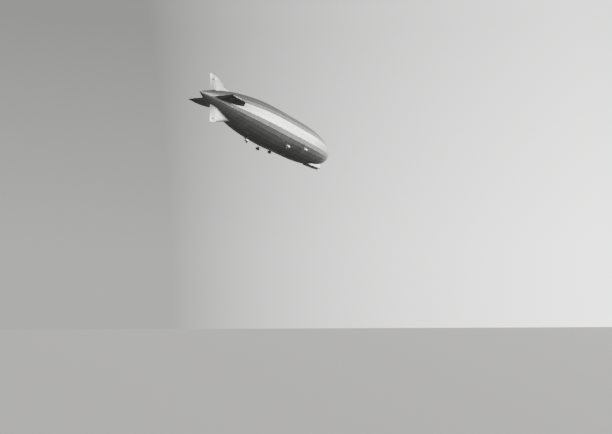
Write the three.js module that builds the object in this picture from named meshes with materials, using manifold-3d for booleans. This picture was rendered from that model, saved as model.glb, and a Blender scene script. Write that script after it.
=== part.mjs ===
// Rigid passenger airship, a 1:10 scale model of a ship 236.6 m long.
// Millimetres, +X to the nose, +Y to port, +Z up, origin at the centre of lift on the hull's axis.
import * as THREE from "three";
import { mergeVertices } from "three/addons/utils/BufferGeometryUtils.js";
import Module from "manifold-3d";

const wasm = await Module();
wasm.setup();

// Hull: every station is a distance from the tail tip
const HULL_LENGTH = 23660;
const HULL_RADIUS = 1525;
const LIFT_STATION = 13171; // centroid of the hull's volume
const SIDES = 28; // longitudinals, one on each edge of the section
const SKIN = 10;
const SEAT = 0.3; // gap between two pieces that rest on each other
const BOW_LENGTH = 7816; // from the nose to the full radius
const BOW_POWER = 2.298;
const STERN_LENGTH = 12170; // from the full radius to the tail tip
const STERN_POWER = 2.289;
const STERN_FALL = 0.948;
const TAIL_JOINT = 1160;
const NOSE_JOINT = 23400;
const MAIN_RINGS = [
  TAIL_JOINT, 2050, 3050, 4050, 5550, 7050, 9050, 12050, 15850, 18050, 19850, 21300,
  22250, 22850, NOSE_JOINT,
];

// Mooring spindle at the nose
const SPINDLE_RADIUS = 38;
const SPINDLE_REACH = 40; // ahead of the nose

// Tail surfaces
const HINGE_STATION = 2050;
const HINGE_GAP = 28; // from the hinge line to the fin's rear face
const SURFACE_CHORD = 540; // from the hinge line to the trailing edge
const SURFACE_HULL_GAP = 18;
const FIN_ROOT_HEIGHT = 560;
const FIN_TIP_HEIGHT = 1570;
const FIN_ROOT_THICKNESS = 330;
const FIN_TIP_THICKNESS = 36;
const FIN_SKIN = 8;
const HINGE_HEIGHTS = [760, 1380];
const LUG_RADIUS = 12;
const LUG_THICKNESS = 8;
const HINGE_PIN = 4;
const BALANCE = { height: 1290, chord: 160, span: 140, thickness: 5, offset: 150, rod: 5 };

// Control and passenger car under the bow
const CAR_WALL = 8;
const CAR_CORNER = 25;
const DECK_THICKNESS = 6;
const DECK_EDGE = 22; // between the deck and the car's walls, where its corner is rounded
const CAR_TOP = -800; // inside the hull, where the walls are cut off by its skin
const DOOR = { station: 21300, width: 80, sill: 20, height: 190, gap: 5, side: -1 };
const DOOR_HINGE = { out: 6, barrel: 4, pin: 1.8, hole: 2.2, length: 10, inset: 45 };
const RAIL = { aft: 19520, fore: 21850, y: 262, drop: 18, radius: 4.5, post: 3, posts: 13, inset: 10 };

// Engine cars
const ENGINE_CAR_WIDTH = 200;
const ENGINE_CAR_HEIGHT = 240;
const ENGINE_CAR_WALL = 8;
const ENGINE_CAR_SIDES = 10;
const ENGINE_CAR_REAR = -300; // from the car's centre
const PROPELLER_RADIUS = 170;
const SHAFT_RADIUS = 9;
const BEARING_GAP = 0.4;
const ENGINE_CAR_WINDOW = { middle: 48, height: 45 };
const HATCH = { x: -38, length: 50, width: 46 };
const LADDER = { gauge: 44, start: 60, reach: 600, firstRung: 150, rungGap: 30 };
const SADDLE = { stations: [-80, 130], width: 24, thickness: 6, low: 66 }; // over the car, between its rails
const STRUT_RADIUS = 7;
const STRUT_SPREAD = THREE.MathUtils.degToRad(12); // round the hull, each side of the car
const STRUT_FOOT_SPREAD = THREE.MathUtils.degToRad(42); // round the car

// Small geometry helpers

const TOLERANCE = 1e-3;

// A closed three.js geometry as a solid that can be cut and joined.
function toSolid(geometry) {
  const bare = geometry.clone();
  bare.deleteAttribute("normal");
  bare.deleteAttribute("uv");
  const merged = mergeVertices(bare, TOLERANCE);
  const faces = [];
  const index = merged.index.array;
  for (let i = 0; i < index.length; i += 3) {
    const [a, b, c] = [index[i], index[i + 1], index[i + 2]];
    if (a !== b && b !== c && c !== a) faces.push(a, b, c);
  }
  return new wasm.Manifold(new wasm.Mesh({
    numProp: 3,
    vertProperties: merged.attributes.position.array,
    triVerts: new Uint32Array(faces),
  }));
}

function toGeometry(solid) {
  const { vertProperties, triVerts } = solid.getMesh();
  const geometry = new THREE.BufferGeometry();
  geometry.setAttribute("position", new THREE.BufferAttribute(vertProperties, 3));
  geometry.setIndex(new THREE.BufferAttribute(triVerts, 1));
  geometry.computeVertexNormals();
  return geometry;
}

function joined(solids) {
  return solids.reduce((sum, solid) => sum.add(solid));
}

function box(length, width, height, x, y, z) {
  return toSolid(new THREE.BoxGeometry(length, width, height).translate(x, y, z));
}

// A round bar between two points.
function rod(from, to, radius, sides = 8) {
  const along = new THREE.Vector3().subVectors(to, from);
  const geometry = new THREE.CylinderGeometry(radius, radius, along.length(), sides);
  const turn = new THREE.Quaternion().setFromUnitVectors(
    new THREE.Vector3(0, 1, 0), along.clone().normalize());
  geometry.applyQuaternion(turn);
  const middle = new THREE.Vector3().addVectors(from, to).multiplyScalar(0.5);
  return toSolid(geometry.translate(middle.x, middle.y, middle.z));
}

// A profile of [x, radius] points turned about the X axis.
function turned(profile, sides) {
  const points = profile.map(([x, radius]) => new THREE.Vector2(radius, x));
  return new THREE.LatheGeometry(points, sides).rotateZ(-Math.PI / 2);
}

// A closed skin through sections that all have the same number of points.
function loft(sections) {
  const count = sections[0].length;
  const points = sections.flat();
  const faces = [];
  for (let s = 0; s + 1 < sections.length; s++) {
    for (let i = 0; i < count; i++) {
      const [a, b] = [s * count + i, s * count + ((i + 1) % count)];
      faces.push(a, b, b + count, a, b + count, a + count);
    }
  }
  const last = (sections.length - 1) * count;
  for (let i = 1; i + 1 < count; i++) {
    faces.push(0, i + 1, i, last, last + i, last + i + 1);
  }
  const geometry = new THREE.BufferGeometry().setFromPoints(points);
  geometry.setIndex(faces);
  const solid = toSolid(geometry);
  if (solid.volume() > 0) return solid;
  geometry.setIndex(faces.reverse());
  return toSolid(geometry);
}

// Hull form

function hullRadius(station) {
  const fromNose = HULL_LENGTH - station;
  if (fromNose < BOW_LENGTH) {
    const ahead = 1 - fromNose / BOW_LENGTH;
    return HULL_RADIUS * (1 - ahead ** BOW_POWER) ** (1 / BOW_POWER);
  }
  if (station > STERN_LENGTH) return HULL_RADIUS;
  const behind = 1 - station / STERN_LENGTH;
  return HULL_RADIUS * (1 - behind ** STERN_POWER) ** STERN_FALL;
}

// Radius of the hull's skin, moved outwards (or inwards) square to its slope.
function skinRadius(station, offset) {
  const step = 1;
  const slope = (hullRadius(station + step) - hullRadius(station - step)) / (2 * step);
  return hullRadius(station) + offset * Math.hypot(1, slope);
}

const TAIL_CONE_STATIONS = [30, 150, 400, TAIL_JOINT];
const NOSE_CAP_STATIONS = [NOSE_JOINT, 23530, 23620, 23652];

// The whole outside of the hull as one solid, grown by a gap, for cutting what meets it.
function hullKeepOut(gap) {
  const stations = [...TAIL_CONE_STATIONS.slice(0, -1), ...MAIN_RINGS, ...NOSE_CAP_STATIONS.slice(1)];
  const profile = stations.map((s) => [s, skinRadius(s, gap)]);
  return toSolid(turned([[-gap, 0], ...profile, [HULL_LENGTH + gap, 0]], SIDES));
}

function envelopeGeometry() {
  const outer = MAIN_RINGS.map((s) => [s, skinRadius(s, 0)]);
  const inner = MAIN_RINGS.map((s) => [s, skinRadius(s, -SKIN)]).reverse();
  return turned([...outer, ...inner, outer[0]], SIDES);
}

function tailConeGeometry() {
  const rim = TAIL_JOINT - SEAT;
  const stations = [...TAIL_CONE_STATIONS.slice(0, -1), rim];
  const outer = stations.map((s) => [s, skinRadius(s, 0)]);
  const inner = stations.slice(1).map((s) => [s, skinRadius(s, -SKIN)]).reverse();
  const innerTip = TAIL_CONE_STATIONS[0] + 2 * SKIN;
  return turned([[0, 0], ...outer, ...inner, [innerTip, 0]], SIDES);
}

function noseCapSolid() {
  const rim = NOSE_JOINT + SEAT;
  const stations = [rim, ...NOSE_CAP_STATIONS.slice(1)];
  const outer = stations.map((s) => [s, skinRadius(s, 0)]);
  const innerStations = [rim, ...NOSE_CAP_STATIONS.slice(1, 3)];
  const inner = innerStations.map((s) => [s, hullRadius(s + SKIN) - SKIN]).reverse();
  const cap = toSolid(turned(
    [[HULL_LENGTH - SKIN, 0], ...inner, ...outer, [HULL_LENGTH, 0]], SIDES));
  const bore = SPINDLE_RADIUS + SEAT;
  const ends = [new THREE.Vector3(HULL_LENGTH - 200, 0, 0), new THREE.Vector3(HULL_LENGTH + 50, 0, 0)];
  return cap.subtract(rod(ends[0], ends[1], bore, SIDES / 2));
}

function spindleGeometry() {
  const collar = SPINDLE_RADIUS + 20;
  const back = HULL_LENGTH - 60;
  const seat = HULL_LENGTH - 26;
  const tip = HULL_LENGTH + SPINDLE_REACH;
  return turned([
    [back, 0], [back, collar], [seat, collar], [seat, SPINDLE_RADIUS],
    [tip - 12, SPINDLE_RADIUS], [tip, SPINDLE_RADIUS - 12], [tip, 0],
  ], SIDES / 2);
}

// Tail surfaces, made upright above the axis and turned to their places

// height above the axis, station of the leading edge: the level fins are the fullest, the lower one the least
const LEVEL_OUTLINE = [
  [350, 4760], [1040, 4760], [1100, 4490], [1165, 4330], [1300, 4130], [1400, 3950],
  [1480, 3720], [1540, 3430], [FIN_TIP_HEIGHT, 3100],
];
const UPPER_OUTLINE = [
  [350, 4700], [1030, 4700], [1075, 4330], [1130, 4040], [1225, 3830], [1340, 3590],
  [1440, 3330], [1520, 3050], [1555, 2830], [FIN_TIP_HEIGHT, 2560],
];
const LOWER_OUTLINE = [
  [350, 4640], [1020, 4640], [1065, 4310], [1130, 3910], [1220, 3450], [1340, 2870],
  [1430, 2500], [1500, 2270], [1545, 2180], [FIN_TIP_HEIGHT, 2150],
];
// fraction of the chord ahead of the rear face, share of the section's full half thickness
const FIN_SECTION = [[0, 0.85], [0.3, 1], [0.6, 0.97], [0.8, 0.75], [0.93, 0.4]];

function finThickness(height) {
  const share = (height - FIN_ROOT_HEIGHT) / (FIN_TIP_HEIGHT - FIN_ROOT_HEIGHT);
  return THREE.MathUtils.lerp(FIN_ROOT_THICKNESS, FIN_TIP_THICKNESS, share);
}

function finForm(outline, inset) {
  const rear = HINGE_STATION + HINGE_GAP + inset;
  const sections = outline.map(([height, edge], row) => {
    const z = row === outline.length - 1 ? height - inset : height;
    const chord = edge - 3 * inset - rear;
    const half = finThickness(height) / 2 - inset;
    const side = FIN_SECTION.map(([share, thick]) => [rear + share * chord, thick * half]);
    return [
      ...side.map(([x, y]) => new THREE.Vector3(x, y, z)),
      new THREE.Vector3(rear + chord, 0, z),
      ...side.reverse().map(([x, y]) => new THREE.Vector3(x, -y, z)),
    ];
  });
  return loft(sections);
}

function hingeLugs() {
  const reach = HINGE_GAP + 2 * FIN_SKIN;
  return HINGE_HEIGHTS.map((z) => {
    const arm = box(reach, 2 * LUG_RADIUS, LUG_THICKNESS, HINGE_STATION + reach / 2, 0, z);
    const half = LUG_THICKNESS / 2;
    const eye = rod(
      new THREE.Vector3(HINGE_STATION, 0, z - half), new THREE.Vector3(HINGE_STATION, 0, z + half),
      LUG_RADIUS, 10);
    return arm.add(eye);
  });
}

function pinAt(z, radius, length) {
  return rod(
    new THREE.Vector3(HINGE_STATION, 0, z - length / 2),
    new THREE.Vector3(HINGE_STATION, 0, z + length / 2), radius, 10);
}

function finSolid(outline) {
  const shell = finForm(outline, 0).subtract(finForm(outline, FIN_SKIN));
  const holes = HINGE_HEIGHTS.map((z) => pinAt(z, HINGE_PIN + BEARING_GAP, 40));
  const whole = joined([shell, ...hingeLugs()]).subtract(joined(holes));
  return whole.subtract(hullKeepOut(SEAT));
}

// distance ahead of the hinge line and half thickness, both in shares of the hinge half thickness
const SURFACE_NOSE = [[0.12, 0.1], [-0.04, 0.55], [-0.18, 0.95]];

function surfaceForm() {
  const heights = [400, FIN_ROOT_HEIGHT, 1060, FIN_TIP_HEIGHT];
  const sections = heights.map((z) => {
    const half = (finThickness(z) / 2) * FIN_SECTION[0][1];
    const side = SURFACE_NOSE.map(([ahead, thick]) => [ahead * half, thick * half]);
    side.push([-0.3 * SURFACE_CHORD, 0.78 * half]);
    side.push([-0.55 * SURFACE_CHORD, 0.5 * half]);
    side.push([-SURFACE_CHORD, 2]);
    return [
      ...side.map(([x, y]) => new THREE.Vector3(HINGE_STATION + x, y, z)),
      ...side.reverse().map(([x, y]) => new THREE.Vector3(HINGE_STATION + x, -y, z)),
    ];
  });
  return loft(sections);
}

// A pair of small planes that stand off each face of a control surface, ahead of its hinge line.
function balancePlanes() {
  const { height, chord, span, thickness, offset } = BALANCE;
  const pieces = [];
  for (const side of [-1, 1]) {
    pieces.push(box(chord, thickness, span, HINGE_STATION + 20, side * offset, height));
    for (const [footX, headX] of [[-110, -40], [-50, 30]]) {
      pieces.push(rod(
        new THREE.Vector3(HINGE_STATION + footX, 0, height),
        new THREE.Vector3(HINGE_STATION + headX, side * offset, height), BALANCE.rod, 6));
    }
  }
  return joined(pieces);
}

// The surface's root is cut flat, along the hull's slope, so that it clears the hull at every angle.
function aboveHull(solid) {
  const rise = hullRadius(HINGE_STATION) - hullRadius(HINGE_STATION - SURFACE_CHORD);
  const across = new THREE.Vector3(-rise, 0, SURFACE_CHORD).normalize();
  const root = new THREE.Vector3(HINGE_STATION, 0, hullRadius(HINGE_STATION) + SURFACE_HULL_GAP);
  return solid.trimByPlane(across.toArray(), across.dot(root));
}

function surfaceSolid() {
  const slotHeight = LUG_THICKNESS + 1;
  const slotBack = LUG_RADIUS + 2;
  const slots = HINGE_HEIGHTS.map((z) => box(100, 300, slotHeight, HINGE_STATION + 50 - slotBack, 0, z));
  const pins = HINGE_HEIGHTS.map((z) => pinAt(z, HINGE_PIN, slotHeight + 4));
  const body = aboveHull(surfaceForm()).subtract(joined(slots));
  return joined([body, ...pins, balancePlanes()]);
}

// Control and passenger car

// station, half width, bottom
const CAR_SECTIONS = [
  [22300, 60, -1300],
  [22270, 150, -1337],
  [22200, 225, -1357],
  [22080, 280, -1371],
  [21900, 300, -1385],
  [19450, 300, -1445],
  [19270, 250, -1449],
  [19150, 170, -1449],
  [19080, 80, -1446],
];
const CAR_MIDDLE = 20600;
const DECK_BREAK = 21900; // the control room's deck begins here

function carRow([station, halfWidth, bottom], inset) {
  return {
    x: station - inset * Math.sign(station - CAR_MIDDLE),
    half: halfWidth - inset,
    low: bottom + inset,
  };
}

function carForm(inset) {
  const corner = CAR_CORNER - inset / 2;
  return loft(CAR_SECTIONS.map((row) => {
    const { x, half, low } = carRow(row, inset);
    const side = [[half, CAR_TOP], [half, low + corner], [half - 0.3 * corner, low + 0.3 * corner],
      [half - corner, low]];
    return [
      ...side.map(([y, z]) => new THREE.Vector3(x, y, z)),
      ...side.reverse().map(([y, z]) => new THREE.Vector3(x, -y, z)),
    ];
  }));
}

function carBottom(station) {
  const next = CAR_SECTIONS.findIndex(([s]) => s <= station);
  const [ahead, behind] = [CAR_SECTIONS[next - 1], CAR_SECTIONS[next]];
  const share = (station - behind[0]) / (ahead[0] - behind[0]);
  return THREE.MathUtils.lerp(behind[2], ahead[2], share);
}

// A flat plank on the car's bottom between two of its sections, as wide as the room is there.
function deckPlank(fore, aft) {
  const rows = CAR_SECTIONS.filter(([station]) => station <= fore && station >= aft)
    .map((row) => carRow(row, CAR_WALL));
  const [first, last] = [rows[0], rows[rows.length - 1]];
  return loft(rows.map(({ x, half }) => {
    const low = THREE.MathUtils.mapLinear(x, first.x, last.x, first.low, last.low) + SEAT;
    const side = half - DECK_EDGE;
    return [[side, 0], [side, DECK_THICKNESS], [-side, DECK_THICKNESS], [-side, 0]].map(
      ([y, above]) => new THREE.Vector3(x, y, low + above));
  }));
}

// Everything between two heights above the car's bottom line.
function carBand(low, high) {
  return loft(CAR_SECTIONS.map(([x, half, bottom]) => [
    [half, low], [half, high], [-half, high], [-half, low],
  ].map(([y, above]) => new THREE.Vector3(x, y, bottom + above))));
}

// station, width, sill above the car's bottom, height
const SIDE_WINDOWS = [
  [22000, 100, 95, 140],
  [21880, 100, 95, 140],
  [21760, 100, 95, 140],
  [21570, 80, 95, 90],
  [21440, 80, 95, 90],
  [21160, 120, 85, 90],
  [20960, 120, 85, 90],
  [20640, 80, 60, 70],
  [20440, 80, 50, 65],
  [20240, 80, 42, 58],
  [20040, 80, 36, 50],
  [19840, 80, 31, 42],
  [19600, 50, 28, 34],
];
// middle of the window in plan, turn about the vertical in degrees, width
const BOW_WINDOWS = [[22290, 0, 0, 86], [22240, 165, 45, 90], [22240, -165, -45, 90], [22130, 250, 70, 84],
  [22130, -250, -70, 84]];
const BOW_WINDOW = { low: -1235, high: -1105 };

function carWindowCuts() {
  const cuts = SIDE_WINDOWS.map(([station, width, sill, height]) => box(
    width, 1000, height, station, 0, carBottom(station) + sill + height / 2));
  for (const [x, y, turn, width] of BOW_WINDOWS) {
    const height = BOW_WINDOW.high - BOW_WINDOW.low;
    const geometry = new THREE.BoxGeometry(90, width, height);
    geometry.rotateZ(THREE.MathUtils.degToRad(turn));
    cuts.push(toSolid(geometry.translate(x, y, (BOW_WINDOW.high + BOW_WINDOW.low) / 2)));
  }
  return joined(cuts);
}

function doorway(grow) {
  const low = carBottom(DOOR.station) + DOOR.sill;
  return box(
    DOOR.width + 2 * grow, 3 * CAR_WALL, DOOR.height + 2 * grow,
    DOOR.station, DOOR.side * (300 - CAR_WALL / 2), low + DOOR.height / 2);
}

function doorHinge() {
  const low = carBottom(DOOR.station) + DOOR.sill;
  return {
    x: DOOR.station + DOOR.width / 2 + DOOR_HINGE.barrel,
    y: DOOR.side * (300 + DOOR_HINGE.out),
    heights: [low + DOOR_HINGE.inset, low + DOOR.height - DOOR_HINGE.inset],
  };
}

// An upright barrel on the door's hinge line, with a leaf that reaches to one side.
function hingeBarrel(middle, reach, hole) {
  const { x, y } = doorHinge();
  const half = DOOR_HINGE.length / 2;
  const ends = [middle - half, middle + half].map((z) => new THREE.Vector3(x, y, z));
  const plateDepth = DOOR_HINGE.out - SEAT;
  const footDepth = DOOR_HINGE.out + 2;
  const plate = box(Math.abs(reach), plateDepth, DOOR_HINGE.length,
    x + reach / 2, y - DOOR.side * plateDepth / 2, middle);
  const foot = box(Math.abs(reach) / 2, footDepth, DOOR_HINGE.length,
    x + reach * 0.75, y - DOOR.side * footDepth / 2, middle);
  const barrel = joined([rod(ends[0], ends[1], DOOR_HINGE.barrel, 8), plate, foot]);
  if (!hole) return barrel;
  return barrel.subtract(rod(
    ends[0].clone().setZ(middle - 2 * half), ends[1].clone().setZ(middle + 2 * half), hole, 8));
}

function carShell() {
  const whole = carForm(0).subtract(carForm(CAR_WALL));
  const cut = whole.subtract(joined([carWindowCuts(), doorway(0)])).subtract(hullKeepOut(SEAT));
  const { x, y, heights } = doorHinge();
  const step = DOOR_HINGE.length + 2 * SEAT;
  const fixed = heights.flatMap((z) => [
    hingeBarrel(z - step, 20, 0),
    rod(new THREE.Vector3(x, y, z - step), new THREE.Vector3(x, y, z + step / 2 - 1), DOOR_HINGE.pin, 8),
  ]);
  return joined([cut, ...fixed]);
}

function doorSolid() {
  const low = carBottom(DOOR.station) + DOOR.sill;
  const panel = box(
    DOOR.width - 2 * DOOR.gap, CAR_WALL, DOOR.height - 2 * DOOR.gap,
    DOOR.station, DOOR.side * (300 - CAR_WALL / 2), low + DOOR.height / 2);
  const barrels = doorHinge().heights.map((z) => hingeBarrel(z, -20, DOOR_HINGE.hole));
  return joined([panel, ...barrels]);
}

function carGlazing() {
  const glass = 2;
  const skin = carForm(CAR_WALL + SEAT).subtract(carForm(CAR_WALL + SEAT + glass));
  const band = carBand(22, 250);
  const rearCut = box(1200, 800, 900, 18900, 0, -1400);
  const doorCut = doorway(10).translate([0, 10, 0]);
  return skin.intersect(band).subtract(joined([rearCut, doorCut])).subtract(hullKeepOut(SEAT));
}

// The rail under one bottom edge of the car that the landing party holds, on its row of posts.
function landingRail(side) {
  const place = (station, above) => new THREE.Vector3(station, side * RAIL.y, carBottom(station) + above);
  const pieces = [rod(place(RAIL.aft, -RAIL.drop), place(RAIL.fore, -RAIL.drop), RAIL.radius, 8)];
  for (let i = 0; i < RAIL.posts; i++) {
    const share = i / (RAIL.posts - 1);
    const station = THREE.MathUtils.lerp(RAIL.aft + RAIL.inset, RAIL.fore - RAIL.inset, share);
    pieces.push(rod(place(station, -RAIL.drop), place(station, CAR_WALL / 2), RAIL.post, 6));
  }
  return joined(pieces).subtract(carForm(-SEAT));
}

function bumper(length, radius, centre, flat, around) {
  const half = length / 2;
  const profile = [[-half, 0], [-0.9 * half, 0.45 * radius], [-0.6 * half, 0.83 * radius], [0, radius],
    [0.6 * half, 0.83 * radius], [0.9 * half, 0.45 * radius], [half, 0]];
  const bag = toSolid(turned(profile, 12).translate(centre.x, centre.y, centre.z));
  const ground = box(2 * length, 4 * radius, 2 * radius, centre.x, centre.y, flat - radius);
  return bag.subtract(around).subtract(ground);
}

// Engine cars

// name, station of its centre, distance to port, height
const ENGINE_CARS = [
  ["forward_port", 15130, 1490, -1080],
  ["forward_starboard", 15130, -1490, -1080],
  ["aft_port", 12150, 1220, -1360],
  ["aft_starboard", 12150, -1220, -1360],
  ["centre", 7300, 0, -1715],
];
// distance ahead of the car's centre, half width
const ENGINE_CAR_PROFILE = [[ENGINE_CAR_REAR, 0], [ENGINE_CAR_REAR, 20], [-235, 52], [-140, 82], [-30, 98],
  [60, 100], [150, 92], [225, 76], [275, 58], [292, 50], [292, 0]];

// distance ahead of the car's centre, width; the same on both sides
const ENGINE_CAR_WINDOWS = [[25, 60], [88, 40]];

// The car's outside, moved inwards by a wall (or outwards, where the wall is negative).
function engineCarForm(wall, rows = ENGINE_CAR_PROFILE) {
  const profile = rows.map(([x, radius]) => {
    const end = radius <= 50;
    const shift = end ? -Math.sign(x) * wall : 0;
    return [x + shift, radius === 0 ? 0 : radius - wall];
  });
  return toSolid(turned(profile, ENGINE_CAR_SIDES).scale(1, 1, ENGINE_CAR_HEIGHT / ENGINE_CAR_WIDTH));
}

// The room inside the car, less a gap, with every other section of the outside.
function engineCarInside(gap) {
  const rows = ENGINE_CAR_PROFILE.filter((row, i) => i < 2 || i > 8 || i % 2 === 1);
  return engineCarForm(ENGINE_CAR_WALL + gap, rows);
}

// The direction round the car, from straight up towards port, in which the hull lies.
function hullSide(y, z) {
  return Math.atan2(-y, -z);
}

// A box that starts some way from the car's centre and reaches out in one direction round it.
function spoke(x, length, width, side, start = 0) {
  const reach = 2 * ENGINE_CAR_HEIGHT;
  const geometry = new THREE.BoxGeometry(length, width, reach).translate(x, 0, start + reach / 2);
  return toSolid(geometry.rotateX(-side));
}

function engineCarShell(y, z) {
  const cuts = [
    rod(new THREE.Vector3(270, 0, 0), new THREE.Vector3(320, 0, 0), 38, 12),
    rod(new THREE.Vector3(-340, 0, 0), new THREE.Vector3(-200, 0, 0), SHAFT_RADIUS + BEARING_GAP, 12),
    ...ENGINE_CAR_WINDOWS.map(([x, width]) => box(
      width, 400, ENGINE_CAR_WINDOW.height, x, 0, ENGINE_CAR_WINDOW.middle)),
    spoke(HATCH.x, HATCH.length, HATCH.width, hullSide(y, z)),
  ];
  return engineCarForm(0).subtract(engineCarInside(0)).subtract(joined(cuts));
}

function engineSolid() {
  const block = box(150, 80, 110, 25, 0, -20);
  const bearers = [-30, 80].map((x) => box(14, 400, 16, x, 0, -40));
  return joined([block, ...bearers]).intersect(engineCarInside(SEAT));
}

function radiatorSolid() {
  return rod(new THREE.Vector3(274, 0, 0), new THREE.Vector3(292 - ENGINE_CAR_WALL - SEAT, 0, 0), 40, 12);
}

function strutFrame(y, z) {
  const side = hullSide(y, z);
  const inside = engineCarForm(-SEAT);
  const outside = engineCarForm(-SEAT - SADDLE.thickness);
  const straps = SADDLE.stations.map((x) => spoke(x, SADDLE.width, 400, side, SADDLE.low));
  const length = SADDLE.stations[1] - SADDLE.stations[0];
  const middle = (SADDLE.stations[1] + SADDLE.stations[0]) / 2;
  const turns = [-1, 1].map((turn) => side + turn * STRUT_FOOT_SPREAD);
  const rails = turns.map((turn) => spoke(middle, length, 14, turn));
  const bands = outside.intersect(joined([...straps, ...rails]));
  const struts = [];
  for (const x of SADDLE.stations) {
    turns.forEach((turn, i) => {
      const foot = new THREE.Vector3(
        x, Math.sin(turn) * ENGINE_CAR_WIDTH * 0.45, Math.cos(turn) * ENGINE_CAR_HEIGHT * 0.45);
      const round = Math.atan2(y, -z) + (i === 0 ? 1 : -1) * STRUT_SPREAD;
      const reach = HULL_RADIUS;
      const head = new THREE.Vector3(x * 1.6, Math.sin(round) * reach - y, -Math.cos(round) * reach - z);
      struts.push(rod(foot, head, STRUT_RADIUS, 6));
    });
  }
  return joined([bands, ...struts]).subtract(inside);
}

function ladderSolid(y, z) {
  const side = hullSide(y, z);
  const stiles = [-1, 1].map((end) => HATCH.x + end * LADDER.gauge / 2);
  const pieces = stiles.map((x) => rod(
    new THREE.Vector3(x, 0, LADDER.start), new THREE.Vector3(x, 0, LADDER.reach), 4, 4));
  for (let height = LADDER.firstRung; height < LADDER.reach; height += LADDER.rungGap) {
    const ends = stiles.map((x) => new THREE.Vector3(x, 0, height));
    pieces.push(rod(ends[0], ends[1], 2.5, 4));
  }
  const upright = new THREE.BufferGeometry().copy(toGeometry(joined(pieces))).rotateX(-side);
  return toSolid(upright).subtract(engineCarForm(-SEAT));
}

// A two-bladed wooden propeller behind the car, with its hub, spinner and shaft.
function propellerSolid() {
  const plane = ENGINE_CAR_REAR - 28;
  const hub = toSolid(turned([[plane - 36, 0], [plane - 30, 10], [plane - 16, 22], [plane + 20, 22],
    [plane + 20, 0]], 12));
  const shaft = rod(new THREE.Vector3(plane, 0, 0), new THREE.Vector3(-50 - SEAT, 0, 0), SHAFT_RADIUS, 12);
  const blades = [0, Math.PI].map((turn) => bladeSolid(turn, plane));
  return joined([hub, shaft, ...blades]);
}

function bladeSolid(turn, plane) {
  const geometry = new THREE.CylinderGeometry(1, 1, PROPELLER_RADIUS, 6, 5);
  geometry.translate(0, PROPELLER_RADIUS / 2, 0);
  const place = geometry.attributes.position;
  for (let i = 0; i < place.count; i++) {
    const share = place.getY(i) / PROPELLER_RADIUS;
    const chord = 9 + 8 * Math.sin(Math.PI * Math.min(1, share * 0.9 + 0.12));
    const thick = THREE.MathUtils.lerp(9, 2.5, share);
    const pitch = THREE.MathUtils.lerp(1.1, 0.35, share);
    const [u, v] = [place.getX(i) * thick, place.getZ(i) * chord];
    place.setX(i, u * Math.cos(pitch) - v * Math.sin(pitch));
    place.setZ(i, u * Math.sin(pitch) + v * Math.cos(pitch));
  }
  geometry.rotateX(turn + Math.PI / 2).translate(plane, 0, 0);
  return toSolid(geometry);
}

// Finishes

const FINISHES = {
  dopedFabric: { color: 0xb9bdbf, roughness: 0.42, metalness: 0.55 },
  bareMetal: { color: 0xa9adb0, roughness: 0.4, metalness: 0.8 },
  strutPaint: { color: 0x6f7376, roughness: 0.5, metalness: 0.6 },
  deckWood: { color: 0x8a6a48, roughness: 0.6, metalness: 0 },
  bladeWood: { color: 0x5e4029, roughness: 0.4, metalness: 0 },
  glass: { color: 0x8fa3ab, roughness: 0.1, metalness: 0 },
  engineIron: { color: 0x3a3c3e, roughness: 0.6, metalness: 0.7 },
  bagFabric: { color: 0x77797a, roughness: 0.8, metalness: 0 },
};

function piece(name, solidOrGeometry, finish) {
  const geometry = solidOrGeometry.isBufferGeometry ? solidOrGeometry : toGeometry(solidOrGeometry);
  const mesh = new THREE.Mesh(geometry, new THREE.MeshStandardMaterial(FINISHES[finish]));
  mesh.name = name;
  return mesh;
}

// Assembly: stations run from the tail tip, so the ship is moved back to its centre of lift

const airship = new THREE.Group();
const ship = new THREE.Group();
ship.position.x = -LIFT_STATION;
airship.add(ship);

ship.add(piece("envelope", envelopeGeometry(), "dopedFabric"));
ship.add(piece("tail_cone", tailConeGeometry(), "dopedFabric"));
ship.add(piece("nose_cap", noseCapSolid(), "dopedFabric"));
ship.add(piece("mooring_spindle", spindleGeometry(), "bareMetal"));

// fin, its moving surface, turn about the hull's axis, outline of the fin
const TAIL = [
  ["upper_fin", "upper_rudder", 0, UPPER_OUTLINE],
  ["port_fin", "port_elevator", -Math.PI / 2, LEVEL_OUTLINE],
  ["lower_fin", "lower_rudder", Math.PI, LOWER_OUTLINE],
  ["starboard_fin", "starboard_elevator", Math.PI / 2, LEVEL_OUTLINE],
];
for (const [fin, surface, turn, outline] of TAIL) {
  const quarter = new THREE.Group();
  quarter.rotation.x = turn;
  quarter.add(piece(fin, finSolid(outline), "dopedFabric"));
  quarter.add(piece(surface, surfaceSolid(), "dopedFabric"));
  ship.add(quarter);
}

ship.add(piece("car_shell", carShell(), "dopedFabric"));
ship.add(piece("car_deck", deckPlank(DECK_BREAK, 19450), "deckWood"));
ship.add(piece("control_room_deck", deckPlank(22200, DECK_BREAK).translate([SEAT, 0, 0]), "deckWood"));
ship.add(piece("car_glazing", carGlazing(), "glass"));
ship.add(piece("entrance_door", doorSolid(), "dopedFabric"));
ship.add(piece("port_landing_rail", landingRail(1), "strutPaint"));
ship.add(piece("starboard_landing_rail", landingRail(-1), "strutPaint"));
const bowBag = new THREE.Vector3(21900, 0, -1420);
ship.add(piece("forward_bumper", bumper(300, 72, bowBag, -1486, carForm(-SEAT)), "bagFabric"));

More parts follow.
